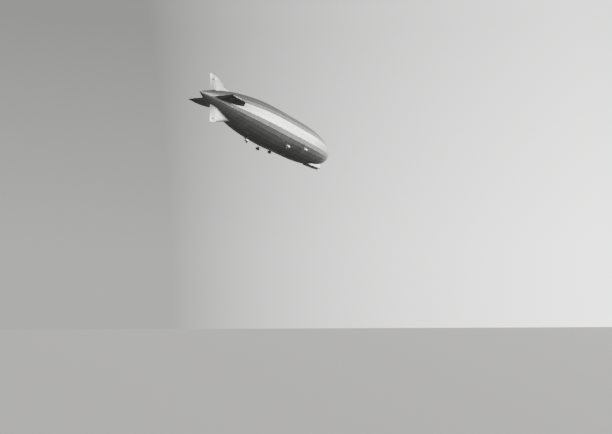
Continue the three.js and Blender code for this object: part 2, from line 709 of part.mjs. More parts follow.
for (const [name, station, y, z] of ENGINE_CARS) {
  const car = new THREE.Group();
  car.position.set(station, y, z);
  const hullHere = hullKeepOut(SEAT).translate([-station, -y, -z]);
  car.add(piece(`engine_car_${name}`, engineCarShell(y, z), "dopedFabric"));
  car.add(piece(`engine_${name}`, engineSolid(), "engineIron"));
  car.add(piece(`radiator_${name}`, radiatorSolid(), "bareMetal"));
  car.add(piece(`struts_${name}`, strutFrame(y, z).subtract(hullHere), "strutPaint"));
  car.add(piece(`ladder_${name}`, ladderSolid(y, z).subtract(hullHere), "strutPaint"));
  car.add(piece(`propeller_${name}`, propellerSolid(), "bladeWood"));
  ship.add(car);
}
const centreCar = ENGINE_CARS[4];
const sternBag = new THREE.Vector3(centreCar[1] + 25, 0, centreCar[3] - 145);
const centreForm = engineCarForm(-SEAT).translate([centreCar[1], 0, centreCar[3]]);
ship.add(piece("aft_bumper", bumper(180, 62, sternBag, sternBag.z - 56, centreForm), "bagFabric"));

export default airship;
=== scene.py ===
from math import atan, atan2, cos, hypot, pi, radians, sin, sqrt

import bmesh
import bpy
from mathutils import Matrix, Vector


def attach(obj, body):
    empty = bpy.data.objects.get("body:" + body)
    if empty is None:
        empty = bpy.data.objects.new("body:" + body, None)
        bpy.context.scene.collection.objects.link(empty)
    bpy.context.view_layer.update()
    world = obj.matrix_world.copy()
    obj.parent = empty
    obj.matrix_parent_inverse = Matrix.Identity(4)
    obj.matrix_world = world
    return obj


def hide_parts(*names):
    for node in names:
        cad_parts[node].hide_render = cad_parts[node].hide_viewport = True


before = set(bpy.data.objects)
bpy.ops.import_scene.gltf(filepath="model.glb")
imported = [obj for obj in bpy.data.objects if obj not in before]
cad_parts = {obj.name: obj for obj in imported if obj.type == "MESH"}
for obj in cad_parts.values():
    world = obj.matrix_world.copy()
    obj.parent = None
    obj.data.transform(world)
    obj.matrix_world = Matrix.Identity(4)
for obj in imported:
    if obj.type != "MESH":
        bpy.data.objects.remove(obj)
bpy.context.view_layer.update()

# Rigid passenger airship, 1:10. Metres: +X to the nose, +Y to port, +Z up, origin at the centre of lift.
liftStation = 13.171  # from the tail tip; every "station" below counts from the tail tip

hullForm = {
    "length": 23.66, "radius": 1.525, "sides": 28, "skin": 0.01,
    "bowLength": 7.816, "bowPower": 2.298,
    "sternLength": 12.17, "sternPower": 2.289, "sternFall": 0.948,
    "tailJoint": 1.16, "noseJoint": 23.4,
    "firstRing": 1.55, "ringGap": 0.5,  # intermediate rings; every third is a main ring
    "tape": 0.014, "sag": 0.0012,  # border left by the taped girders, and how far the cloth sinks inside it
}


def along(station):
    return station - liftStation


def hullRadius(station):
    fromNose = hullForm["length"] - station
    if fromNose < hullForm["bowLength"]:
        ahead = 1 - fromNose / hullForm["bowLength"]
        power = hullForm["bowPower"]
        return hullForm["radius"] * (1 - ahead ** power) ** (1 / power)
    if station > hullForm["sternLength"]:
        return hullForm["radius"]
    behind = 1 - station / hullForm["sternLength"]
    return hullForm["radius"] * (1 - behind ** hullForm["sternPower"]) ** hullForm["sternFall"]


# Camera, lights and floor

photoView = {"place": (-64.389, -25.582, -14.644), "turn": (96.765, 0.273, -70.03), "lens": 55.16}
studio = {
    "eyeHeight": 0.16, "floorSize": 2400,
    "floorColour": "#e4e4e2", "skyColour": "#f2f2f1", "groundColour": "#6a6a69",
    "across": (0.47, 0.05, 0.5, 2.8),  # the backdrop brightens from port to starboard
    "upward": (0.31, 0.08, 0.78, 1.22),  # and a little towards the horizon
    "horizon": (-0.1, -0.035),  # the light from below fades in between these heights of the view's direction
    "overhead": (0.33, 0.55, 1.0, 0.2),  # and is darkest straight up, outside the view
    "key": {"from": (52, -27.5, 12.8), "angle": 10, "strength": 3.0, "colour": "#fffdf9"},
}


def linearColour(hexText):
    parts = [int(hexText[i:i + 2], 16) / 255 for i in (1, 3, 5)]
    return tuple(p / 12.92 if p <= 0.04045 else ((p + 0.055) / 1.055) ** 2.4 for p in parts) + (1,)


def deselectAll():
    bpy.ops.object.select_all(action="DESELECT")


def addNode(tree, kind, values=None, links=None, **settings):
    made = tree.nodes.new("ShaderNode" + kind)
    for name, value in settings.items():
        setattr(made, name, value)
    for socket, value in (values or {}).items():
        made.inputs[socket].default_value = value
    for socket, source in (links or {}).items():
        tree.links.new(source, made.inputs[socket])
    return made


def calc(tree, operation, first, second=None):
    links, values = {}, {}
    for socket, source in ((0, first), (1, second)):
        if source is None:
            continue
        if isinstance(source, (int, float)):
            values[socket] = source
        else:
            links[socket] = source
    return addNode(tree, "Math", values=values, links=links, operation=operation).outputs[0]


def mapRange(tree, source, limits):  # from low, from high, to low, to high
    names = ("From Min", "From Max", "To Min", "To Max")
    return addNode(tree, "MapRange", links={"Value": source}, values=dict(zip(names, limits))).outputs[0]


def makeCamera():
    turn = [radians(angle) for angle in photoView["turn"]]
    bpy.ops.object.camera_add(location=photoView["place"], rotation=turn)
    camera = bpy.context.object
    camera.data.lens = photoView["lens"]
    camera.data.sensor_width = 36
    camera.data.clip_end = 2000
    bpy.context.scene.camera = camera


def makeLight(name, light):  # a broad lamp so far off that its light is even over the whole ship
    bpy.ops.object.light_add(type="SUN", location=light["from"])
    lamp = bpy.context.object
    lamp.name = name
    lamp.data.energy = light["strength"]
    lamp.data.angle = radians(light["angle"])
    lamp.data.color = linearColour(light["colour"])[:3]
    lamp.rotation_euler = (-Vector(light["from"])).to_track_quat("-Z", "Y").to_euler()


def makeStudio():
    floorHeight = photoView["place"][2] - studio["eyeHeight"]  # the photo was taken standing on the ground
    bpy.ops.mesh.primitive_plane_add(size=studio["floorSize"], location=(0, 0, floorHeight))
    floor = bpy.context.object
    floor.name = "studioFloor"
    paint = bpy.data.materials.new("palePaintedFloor")
    paint.use_nodes = True
    shader = paint.node_tree.nodes["Principled BSDF"]
    shader.inputs["Base Color"].default_value = linearColour(studio["floorColour"])
    shader.inputs["Roughness"].default_value = 0.9
    floor.data.materials.append(paint)
    floor.visible_diffuse = False
    floor.visible_glossy = False

    world = bpy.data.worlds.new("softStudio")
    bpy.context.scene.world = world
    world.use_nodes = True
    tree = world.node_tree
    tree.nodes.clear()
    where = addNode(tree, "TexCoord")
    x, y, z = addNode(tree, "SeparateXYZ", links={0: where.outputs["Generated"]}).outputs
    bright = calc(tree, "MULTIPLY", mapRange(tree, y, studio["across"]), mapRange(tree, z, studio["upward"]))
    bright = calc(tree, "MULTIPLY", bright, mapRange(tree, z, studio["overhead"]))
    above = mapRange(tree, z, studio["horizon"])
    whole = addNode(tree, "Mix", data_type="RGBA", links={"Factor": above}, values={
        6: linearColour(studio["groundColour"]), 7: linearColour(studio["skyColour"])})
    strength = addNode(tree, "Mix", links={"Factor": above, 3: bright}, values={2: 1.0})
    back = addNode(tree, "Background", links={"Color": whole.outputs[2], "Strength": strength.outputs[0]})
    out = addNode(tree, "OutputWorld")
    tree.links.new(back.outputs[0], out.inputs["Surface"])
    makeLight("keyLight", studio["key"])


makeCamera()
makeStudio()
print("camera, lights and floor")

# Materials


def newMaterial(name, values):
    material = bpy.data.materials.new(name)
    material.use_nodes = True
    tree = material.node_tree
    shader = tree.nodes["Principled BSDF"]
    for socket, value in values.items():
        shader.inputs[socket].default_value = value
    return material, tree, shader, addNode(tree, "TexCoord").outputs["Object"]


def addNoise(tree, where, scale, detail, roughness=0.5):
    values = {"Scale": scale, "Detail": detail, "Roughness": roughness}
    return addNode(tree, "TexNoise", values=values, links={"Vector": where}).outputs["Fac"]


def addRamp(tree, factor, dark, light, low=0.0, high=1.0):
    ramp = addNode(tree, "ValToRGB", links={0: factor})
    for stop, at, colour in zip(ramp.color_ramp.elements, (low, high), (dark, light)):
        stop.position = at
        stop.color = linearColour(colour)
    return ramp.outputs[0]


def tintOver(tree, shader, colour, tint, share):  # share: how much of the tint shows over the colour
    mixed = addNode(tree, "Mix", data_type="RGBA", links={"Factor": share, 6: colour},
                    values={7: linearColour(tint)})
    tree.links.new(mixed.outputs[2], shader.inputs["Base Color"])


def setRoughness(tree, shader, source, low, high):
    tree.links.new(mapRange(tree, source, (0.0, 1.0, low, high)), shader.inputs["Roughness"])


def setBump(tree, shader, height, strength, distance):
    values = {"Strength": strength, "Distance": distance}
    bump = addNode(tree, "Bump", values=values, links={"Height": height})
    tree.links.new(bump.outputs[0], shader.inputs["Normal"])


dopeTint = (0.32, 0.32, 0.32, 1)


# Doped cotton: cloth shrunk tight with clear dope, then two coats of aluminium dope. Satin, and
# a little different from panel to panel, with rain streaks down the sides.
def makeHullCloth():
    material, tree, shader, where = newMaterial("aluminiumDopedCotton", {
        "Metallic": 0.8, "Roughness": 0.36, "Specular IOR Level": 0.3, "Specular Tint": dopeTint})
    x, y, z = addNode(tree, "SeparateXYZ", links={0: where}).outputs
    angle = calc(tree, "ARCTAN2", y, z)
    facet = calc(tree, "FLOOR", calc(tree, "DIVIDE", angle, 2 * pi / hullForm["sides"]))
    fromFirst = calc(tree, "SUBTRACT", x, along(hullForm["firstRing"]))
    ringPlace = calc(tree, "DIVIDE", fromFirst, hullForm["ringGap"])
    cell = addNode(tree, "CombineXYZ", links={0: facet, 1: calc(tree, "FLOOR", ringPlace)}).outputs[0]
    tint = addNode(tree, "TexWhiteNoise", links={"Vector": cell}, noise_dimensions="3D").outputs["Value"]
    # long soft streaks that run round the section
    stretched = addNode(tree, "Mapping", values={"Scale": (5.0, 0.8, 0.5)}, links={"Vector": where})
    streak = addNoise(tree, stretched.outputs[0], 1.6, 5.0, 0.6)
    blot = addNoise(tree, where, 0.35, 3.0)
    shade = calc(tree, "ADD", calc(tree, "MULTIPLY", tint, 0.16), calc(tree, "MULTIPLY", streak, 0.5))
    shade = calc(tree, "ADD", shade, calc(tree, "MULTIPLY", blot, 0.4))
    colour = addRamp(tree, shade, "#8e9090", "#b4b5b3", 0.25, 0.85)
    # laced seams: a thin darker line at every ring, and a wider one at each main ring
    thin = calc(tree, "LESS_THAN", calc(tree, "PINGPONG", ringPlace, 0.5), 0.012)
    mainPlace = calc(tree, "PINGPONG", calc(tree, "SUBTRACT", ringPlace, 1.0), 1.5)
    wide = calc(tree, "LESS_THAN", mainPlace, 0.035)
    seam = calc(tree, "MAXIMUM", calc(tree, "MULTIPLY", thin, 0.45), calc(tree, "MULTIPLY", wide, 0.6))
    tintOver(tree, shader, colour, "#7f8180", seam)
    setRoughness(tree, shader, streak, 0.3, 0.44)
    setBump(tree, shader, addNoise(tree, where, 60.0, 2.0), 0.12, 0.002)
    return material


# The same cloth on the fins and rudders: tapes over the ribs, which cross the chord, and over the spars.
def makeTailCloth():
    material, tree, shader, where = newMaterial("aluminiumDopedCottonOnRibs", {
        "Metallic": 0.7, "Roughness": 0.42, "Specular IOR Level": 0.3, "Specular Tint": dopeTint})
    x, y, z = addNode(tree, "SeparateXYZ", links={0: where}).outputs
    out = calc(tree, "SQRT", calc(tree, "ADD", calc(tree, "MULTIPLY", y, y), calc(tree, "MULTIPLY", z, z)))
    rib = calc(tree, "LESS_THAN", calc(tree, "PINGPONG", out, 0.062), 0.0035)  # 124 mm between ribs
    spar = calc(tree, "LESS_THAN", calc(tree, "PINGPONG", x, 0.2), 0.0045)  # 400 mm between spars
    tape = calc(tree, "MAXIMUM", rib, spar)
    blot = addNoise(tree, where, 1.1, 4.0)
    colour = addRamp(tree, blot, "#8b8d8d", "#a9aaa8", 0.3, 0.7)
    tintOver(tree, shader, colour, "#8c8e8d", calc(tree, "MULTIPLY", tape, 0.6))
    setRoughness(tree, shader, blot, 0.34, 0.5)
    setBump(tree, shader, tape, 0.5, 0.0006)
    return material


# Painted or bare metal with a light mottle, so that no surface is one flat colour.
def makeMetal(name, dark, light, metallic, roughness, scale):
    material, tree, shader, where = newMaterial(name, {"Metallic": metallic, "Roughness": roughness})
    mottle = addNoise(tree, where, scale, 4.0)
    tree.links.new(addRamp(tree, mottle, dark, light, 0.3, 0.7), shader.inputs["Base Color"])
    setRoughness(tree, shader, mottle, roughness - 0.08, roughness + 0.1)
    return material


# Laminated hardwood under varnish: thin straight layers along the blade or board.
def makeWood(name, dark, light, layer, gloss):
    material, tree, shader, where = newMaterial(name, {
        "Roughness": gloss, "Coat Weight": 0.5, "Coat Roughness": 0.15})
    grain = addNode(tree, "TexWave", values={"Scale": layer, "Distortion": 2.5, "Detail": 3.0},
                    links={"Vector": where})
    tree.links.new(addRamp(tree, grain.outputs["Fac"], dark, light), shader.inputs["Base Color"])
    return material


def makeGlass():
    material, tree, shader, where = newMaterial("windowGlass", {
        "Base Color": linearColour("#5d6a70"), "Roughness": 0.06, "Transmission Weight": 0.75, "IOR": 1.5})
    setBump(tree, shader, addNoise(tree, where, 9.0, 1.0), 0.05, 0.001)
    return material


finish = {
    "hullCloth": makeHullCloth(),
    "tailCloth": makeTailCloth(),
    "bareMetal": makeMetal("machinedAluminium", "#8f9294", "#b6b9ba", 1.0, 0.32, 20),
    "carCloth": makeMetal("aluminiumDopedPlyAndCloth", "#787a7a", "#8f9190", 0.8, 0.45, 5),
    "carMetal": makeMetal("aluminiumPaintedSheet", "#9a9c9c", "#b9bbba", 0.7, 0.38, 6),
    "trimMetal": makeMetal("anodisedAluminiumTrim", "#8d8f90", "#a5a7a8", 0.9, 0.3, 10),
    "strutPaint": makeMetal("greyEnamelledTube", "#6c6f70", "#85888a", 0.4, 0.42, 8),
    "engineIron": makeMetal("blackEnamelledIron", "#1c1d1e", "#2c2d2e", 0.5, 0.5, 12),
    "radiatorCore": makeMetal("tinnedBrassCore", "#2b2824", "#4a443a", 0.8, 0.45, 30),
    "bagCanvas": makeMetal("rubberisedCanvas", "#4b4b49", "#666663", 0.0, 0.8, 14),
    "bladeWood": makeWood("varnishedLaminate", "#2d180c", "#55321b", 40, 0.3),
    "deckWood": makeWood("varnishedPly", "#6d4b2c", "#8f6840", 6, 0.4),
    "cabinPanel": makeMetal("paintedPlyPanel", "#a89f8c", "#bdb4a0", 0.0, 0.55, 7),
    "glass": makeGlass(),
}
print("materials")

# Mesh helpers: a piece's place is applied to its mesh


def settle(piece, name, material, body="hull", nodes=()):
    piece.name = name
    piece.data.name = name
    piece.data.materials.clear()
    piece.data.materials.append(finish[material])
    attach(piece, body)
    if nodes:
        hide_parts(*nodes)


def activate(piece):
    deselectAll()
    piece.select_set(True)
    bpy.context.view_layer.objects.active = piece


def startEdit(piece, select="DESELECT"):
    activate(piece)
    bpy.ops.object.mode_set(mode="EDIT")
    bpy.ops.mesh.select_mode(type="FACE" if piece.data.polygons else "VERT")
    bpy.ops.mesh.select_all(action=select)


def selectAll():
    bpy.ops.mesh.select_all(action="SELECT")


def endEdit():
    bpy.ops.object.mode_set(mode="OBJECT")


def endEditFacingOut():
    selectAll()
    bpy.ops.mesh.normals_make_consistent(inside=False)
    endEdit()


def selectFaces(piece, wanted):  # wanted(centre, normal) says which
    mesh = bmesh.from_edit_mesh(piece.data)
    for face in mesh.faces:
        face.select_set(bool(wanted(face.calc_center_median(), face.normal)))
    bmesh.update_edit_mesh(piece.data)


def applyPlace(piece):
    activate(piece)
    bpy.ops.object.transform_apply(location=True, rotation=True, scale=True)


def smoothByAngle(piece, degrees):
    activate(piece)
    bpy.ops.object.shade_smooth_by_angle(angle=radians(degrees))


def addModifier(piece, kind, **settings):
    activate(piece)
    bpy.ops.object.modifier_add(type=kind)
    modifier = piece.modifiers[-1]
    for name, value in settings.items():
        setattr(modifier, name, value)
    bpy.ops.object.modifier_apply(modifier=modifier.name)


def discard(*spares):
    for spare in spares:
        bpy.data.objects.remove(spare, do_unlink=True)


def cutAway(piece, cutter, keep=False):
    addModifier(piece, "BOOLEAN", operation="DIFFERENCE", object=cutter, solver="EXACT")
    if not keep:
        discard(cutter)


def joinAll(pieces):
    activate(pieces[0])
    for piece in pieces:
        piece.select_set(True)
    if len(pieces) > 1:
        bpy.ops.object.join()
    return pieces[0]


def copyOf(piece):
    activate(piece)
    bpy.ops.object.duplicate(linked=False)
    return bpy.context.object


def place(piece, shift=(0, 0, 0), turnX=0.0, turnZ=0.0):  # turned about the origin, then shifted
    piece.rotation_euler = (turnX, 0, turnZ)
    piece.location = shift
    applyPlace(piece)
    return piece


def stretchWith(points, at):  # which stretch between (place, value) pairs, in rising order of place
    last = len(points) - 2
    return next((k for k in range(last + 1) if at <= points[k + 1][0]), last)


def curveThrough(points, at):  # a smooth curve through the pairs
    i = stretchWith(points, at)
    (x0, y0), (x1, y1) = points[i], points[i + 1]
    before, after = points[max(i - 1, 0)], points[min(i + 2, len(points) - 1)]
    step = x1 - x0
    slope0 = (y1 - before[1]) / (x1 - before[0]) * step
    slope1 = (after[1] - y0) / (after[0] - x0) * step
    t = (at - x0) / step
    return ((2 * t ** 3 - 3 * t ** 2 + 1) * y0 + (t ** 3 - 2 * t ** 2 + t) * slope0
            + (3 * t ** 2 - 2 * t ** 3) * y1 + (t ** 3 - t ** 2) * slope1)


def lineThrough(points, at):  # straight from each pair to the next
    i = stretchWith(points, at)
    (x0, y0), (x1, y1) = points[i], points[i + 1]
    return y0 + (y1 - y0) * (at - x0) / (x1 - x0)


# A ring of points is made once and drawn out step by step: (shift, scale, centre of the scaling)
def drawOut(points, steps, fill=True):
    deselectAll()
    bpy.ops.mesh.primitive_circle_add(vertices=len(points), radius=1)
    skin = bpy.context.object
    startEdit(skin)
    mesh = bmesh.from_edit_mesh(skin.data)
    for vert, point in zip(mesh.verts, points):
        vert.co = point
    bmesh.update_edit_mesh(skin.data)
    bpy.ops.mesh.select_mode(type="EDGE")
    selectAll()
    for shift, scale, centre in steps:
        bpy.ops.mesh.extrude_edges_move(TRANSFORM_OT_translate={"value": shift})
        bpy.ops.transform.resize(value=scale, center_override=centre)
    selectAll()
    if fill:
        bpy.ops.mesh.fill_holes(sides=0)
    endEditFacingOut()
    return skin


def roundRings(rings):
    return [(x, radius, radius) for x, radius in rings]


# A round or oval tube along X. rings: x, half width, half height
def tubeAlongX(rings, sides, centre=(0, 0), fill=True):
    (x, wide, high), turn = rings[0], 2 * pi / sides
    points = [(x, centre[0] + wide * sin(i * turn), centre[1] + high * cos(i * turn))
              for i in range(sides)]
    steps = []
    for (x0, wide0, high0), (x1, wide1, high1) in zip(rings, rings[1:]):
        steps.append(((x1 - x0, 0, 0), (1, wide1 / wide0, high1 / high0), (x1, *centre)))
    return drawOut(points, steps, fill)


def addBar(start, end, radius, sides=8, flat=1.0):  # flat: chord along X against thickness
    start, end = Vector(start), Vector(end)
    deselectAll()
    bpy.ops.mesh.primitive_cylinder_add(vertices=sides, radius=radius, depth=(end - start).length)
    bar = bpy.context.object
    bar.scale = (flat, 1, 1)
    bar.location = (start + end) / 2
    bar.rotation_euler = (end - start).to_track_quat("Z", "Y").to_euler()
    applyPlace(bar)
    smoothByAngle(bar, 50)
    return bar


def addBlock(size, middle, turn=(0, 0, 0), edge=0.0):
    deselectAll()
    bpy.ops.mesh.primitive_cube_add(size=1)
    block = bpy.context.object
    block.scale = size
    block.location = middle
    block.rotation_euler = turn
    applyPlace(block)
    if edge:
        addModifier(block, "BEVEL", width=edge, segments=2)
    return block


def addRing(outer, inner, thickness, middle, sides=20):  # an upright washer, its axis along Z
    deselectAll()
    low = middle[2] - thickness / 2
    bpy.ops.mesh.primitive_circle_add(vertices=sides, radius=inner, location=(middle[0], middle[1], low))
    ring = bpy.context.object
    applyPlace(ring)
    startEdit(ring, "SELECT")
    grow = outer / inner
    bpy.ops.mesh.extrude_edges_move()
    bpy.ops.transform.resize(value=(grow, grow, 1), center_override=(middle[0], middle[1], low))
    selectAll()
    bpy.ops.mesh.extrude_region_move(TRANSFORM_OT_translate={"value": (0, 0, thickness)})
    endEditFacingOut()
    return ring


def addHoop(radius, thickness, middle, sides=28):  # a round bar bent to a ring, its axis along X
    deselectAll()
    bpy.ops.mesh.primitive_torus_add(
        major_radius=radius, minor_radius=thickness, major_segments=sides, minor_segments=6,
        location=middle, rotation=(0, pi / 2, 0))
    hoop = bpy.context.object
    applyPlace(hoop)
    smoothByAngle(hoop, 60)
    return hoop


# Hull


def ringStations():
    stations = [hullForm["tailJoint"]]
    station = hullForm["firstRing"]
    while station < hullForm["noseJoint"]:
        stations.append(station)
        station += hullForm["ringGap"]
    return stations + [hullForm["noseJoint"]]


def hullRing(station, grow=0.0):
    radius = hullRadius(station) + grow
    return (along(station), radius, radius)


def quiltPanels(piece, tape, sag):
    startEdit(piece, "SELECT")
    bpy.ops.mesh.inset(thickness=tape, depth=-sag, use_individual=True, use_even_offset=True)
    endEdit()


# Flush hatches in the keel's fabric
hatchForm = {
    "rim": 0.008, "rimThick": 0.002, "coverThick": 0.0035, "under": 0.0008,
    # station, degrees from straight down to starboard, length, width
    "places": [(5.84, 20.5, 0.1, 0.075), (9.3, 6.4, 0.13, 0.09), (10.8, -6.4, 0.13, 0.09),
               (14.0, 6.4, 0.16, 0.1), (16.6, -6.4, 0.16, 0.1), (18.1, 6.4, 0.1, 0.08),
               (22.75, 6.4, 0.12, 0.08)],
    "hinge": 0.0022, "hingeHalf": 0.008, "ringOuter": 0.007, "ringInner": 0.0048, "ringThick": 0.0016,
}


def makeHatches():
    parts = []
    facet = cos(pi / hullForm["sides"])
    rim, half = 2 * hatchForm["rim"], hatchForm["hingeHalf"]
    for station, degrees, length, width in hatchForm["places"]:
        slope = (hullRadius(station + 0.05) - hullRadius(station - 0.05)) / 0.1
        depth = -hullRadius(station) * facet + hatchForm["under"]
        turn = (0, atan(slope), 0)
        hatch = [addBlock((length + rim, width + rim, hatchForm["rimThick"]), (0, 0, depth), turn, 0.0006),
                 addBlock((length, width, hatchForm["coverThick"]), (0, 0, depth - 0.001), turn, 0.0012)]
        for end in (-0.3, 0.3):  # hinges along one side, a ring on the other
            x, y, z = end * length, width / 2, depth - 0.002 + end * length * -slope
            hatch.append(addBar((x - half, y, z), (x + half, y, z), hatchForm["hinge"], 10))
        ring = addRing(hatchForm["ringOuter"], hatchForm["ringInner"], hatchForm["ringThick"],
                       (0, -width * 0.36, depth - 0.0032), 18)
        parts.append(place(joinAll(hatch + [ring]), (along(station), 0, 0), turnX=-radians(degrees)))
    settle(joinAll(parts), "keel_hatches", "trimMetal")


def makeHull():
    cover = tubeAlongX([hullRing(s) for s in ringStations()], hullForm["sides"], fill=False)
    quiltPanels(cover, hullForm["tape"], hullForm["sag"])
    addModifier(cover, "SOLIDIFY", thickness=hullForm["skin"], offset=-1)
    settle(cover, "hull_cover", "hullCloth", nodes=["envelope"])

    tailStations = [0.03, 0.09, 0.18, 0.32, 0.5, 0.72, 0.94, hullForm["tailJoint"] - 0.0003]
    rings = roundRings([(along(0.0008), 0.004)]) + [hullRing(s) for s in tailStations]
    tail = tubeAlongX(rings, hullForm["sides"], fill=False)
    quiltPanels(tail, 0.0004, 0.0003)
    addModifier(tail, "SOLIDIFY", thickness=0.003, offset=-1)
    settle(tail, "tail_cover", "hullCloth", nodes=["tail_cone"])

    noseStations = [hullForm["noseJoint"] + 0.0003, 23.45, 23.5, 23.55, 23.59, 23.62, 23.64, 23.652]
    rings = [hullRing(s) for s in noseStations] + roundRings([(along(23.658), 0.06), (along(23.66), 0.0383)])
    nose = tubeAlongX(rings, hullForm["sides"], fill=False)
    addModifier(nose, "SOLIDIFY", thickness=0.006, offset=-1)
    smoothByAngle(nose, 12)
    settle(nose, "nose_cover", "hullCloth", nodes=["nose_cap"])


makeHull()
makeHatches()
print("hull")

# Tail: one fin and one moving surface are made upright above the axis, and turned to their four places

tailForm = {
    "hinge": 2.05, "rearGap": 0.028, "chord": 0.54, "hullGap": 0.018,
    "rootHeight": 0.56, "tipHeight": 1.57, "rootThick": 0.33, "tipThick": 0.036,
    # height, station of the leading edge: the level fins are the fullest, the lower one the least
    "level": [(0.5, 4.76), (1.04, 4.76), (1.1, 4.49), (1.165, 4.33), (1.3, 4.13), (1.4, 3.95),
              (1.48, 3.72), (1.54, 3.43), (1.57, 3.1)],
    "upper": [(0.5, 4.7), (1.03, 4.7), (1.075, 4.33), (1.13, 4.04), (1.225, 3.83), (1.34, 3.59),
              (1.44, 3.33), (1.52, 3.05), (1.555, 2.83), (1.57, 2.56)],
    "lower": [(0.5, 4.64), (1.02, 4.64), (1.065, 4.31), (1.13, 3.91), (1.22, 3.45), (1.34, 2.87),
              (1.43, 2.5), (1.5, 2.27), (1.545, 2.18), (1.57, 2.15)],
    "fullest": 0.3, "rearShare": 0.85,  # of the chord and of the thickness
    # ahead of the hinge line, share of the half thickness: it clears the fin's rear face at 20 degrees
    "surfaceNose": [(0.0175, 0.0), (0.0165, 0.12), (0.005, 0.34), (-0.0056, 0.55), (-0.016, 0.78),
                    (-0.026, 0.95), (-0.045, 1.0)],
    "lugs": [0.76, 1.38], "lugRadius": 0.012, "lugThick": 0.008, "pin": 0.004,
    "balance": {"height": 1.29, "chord": 0.16, "span": 0.14, "thick": 0.005, "offset": 0.15},
    # name of the fin, of its surface, degrees about the hull's axis, outline
    "quarters": [("upper_fin", "upper_rudder", 0, "upper"), ("port_fin", "port_elevator", -90, "level"),
                 ("lower_fin", "lower_rudder", 180, "lower"),
                 ("starboard_fin", "starboard_elevator", 90, "level")],
}


def tailThickness(height):
    share = (height - tailForm["rootHeight"]) / (tailForm["tipHeight"] - tailForm["rootHeight"])
    thick = tailForm["rootThick"] + (tailForm["tipThick"] - tailForm["rootThick"]) * share
    fromTip = (tailForm["tipHeight"] - height) / 0.012  # the tip is rounded over its last 12 mm
    return thick * (1 if fromTip >= 1 else 0.4 + 0.6 * sqrt(fromTip * (2 - fromTip)))


def finSection(share):  # half thickness at a share of the chord ahead of the rear face
    fullest, rear = tailForm["fullest"], tailForm["rearShare"]
    if share < fullest:
        return rear + (1 - rear) * sin(pi / 2 * share / fullest)
    return (1 - ((share - fullest) / (1 - fullest)) ** 3.2) ** 0.75


def makeFin(outline):
    rear = along(tailForm["hinge"] + tailForm["rearGap"])
    heights = [0.5, 0.75, 1.0, 1.02, 1.04, 1.06, 1.08] + [1.1 + 0.023 * i for i in range(20)]
    heights += [1.55, 1.558, 1.564, 1.568, 1.57]
    chords = [along(curveThrough(tailForm[outline], h)) - rear for h in heights]
    shares = [0, 0.12, 0.24, 0.36, 0.48, 0.6, 0.71, 0.8, 0.88, 0.94, 0.98]
    half = tailThickness(heights[0]) / 2
    side = [(rear + s * chords[0], finSection(s) * half) for s in shares]
    points = [(x, y, heights[0]) for x, y in side] + [(rear + chords[0], 0, heights[0])]
    points += [(x, -y, heights[0]) for x, y in reversed(side)]
    steps = []
    for i in range(1, len(heights)):
        rise = heights[i] - heights[i - 1]
        thin = tailThickness(heights[i]) / tailThickness(heights[i - 1])
        steps.append(((0, 0, rise), (chords[i] / chords[i - 1], thin, 1), (rear, 0, heights[i])))
    fin = drawOut(points, steps)
    startEdit(fin)
    selectFaces(fin, lambda centre, normal: normal.x < -0.99)
    bpy.ops.mesh.dissolve_faces()
    bpy.ops.mesh.inset(thickness=0.005, depth=-0.008)  # the recess behind the hinges
    endEdit()
    smoothByAngle(fin, 35)
    parts = [fin]
    hinge = along(tailForm["hinge"])
    for height in tailForm["lugs"]:
        reach = tailForm["rearGap"] + 0.016
        start = tailForm["lugRadius"] * 0.8
        middle = (hinge + (reach + start) / 2, 0, height)
        parts.append(addBlock((reach - start, 0.022, tailForm["lugThick"]), middle, edge=0.0008))
        parts.append(addRing(tailForm["lugRadius"], tailForm["pin"] + 0.0004, tailForm["lugThick"],
                             (hinge, 0, height)))
    return joinAll(parts)


def surfaceOutline(half):  # x from the hinge line and half thickness, from the nose to the trailing edge
    nose = [(x, half * share) for x, share in tailForm["surfaceNose"]]
    back = nose[-1][0]
    tail = []
    for share in (0.2, 0.4, 0.6, 0.8, 1.0):
        x = back - share * (tailForm["chord"] + back)
        tail.append((x, max(half * (1 - share ** 1.1), 0.0012)))
    return nose + tail


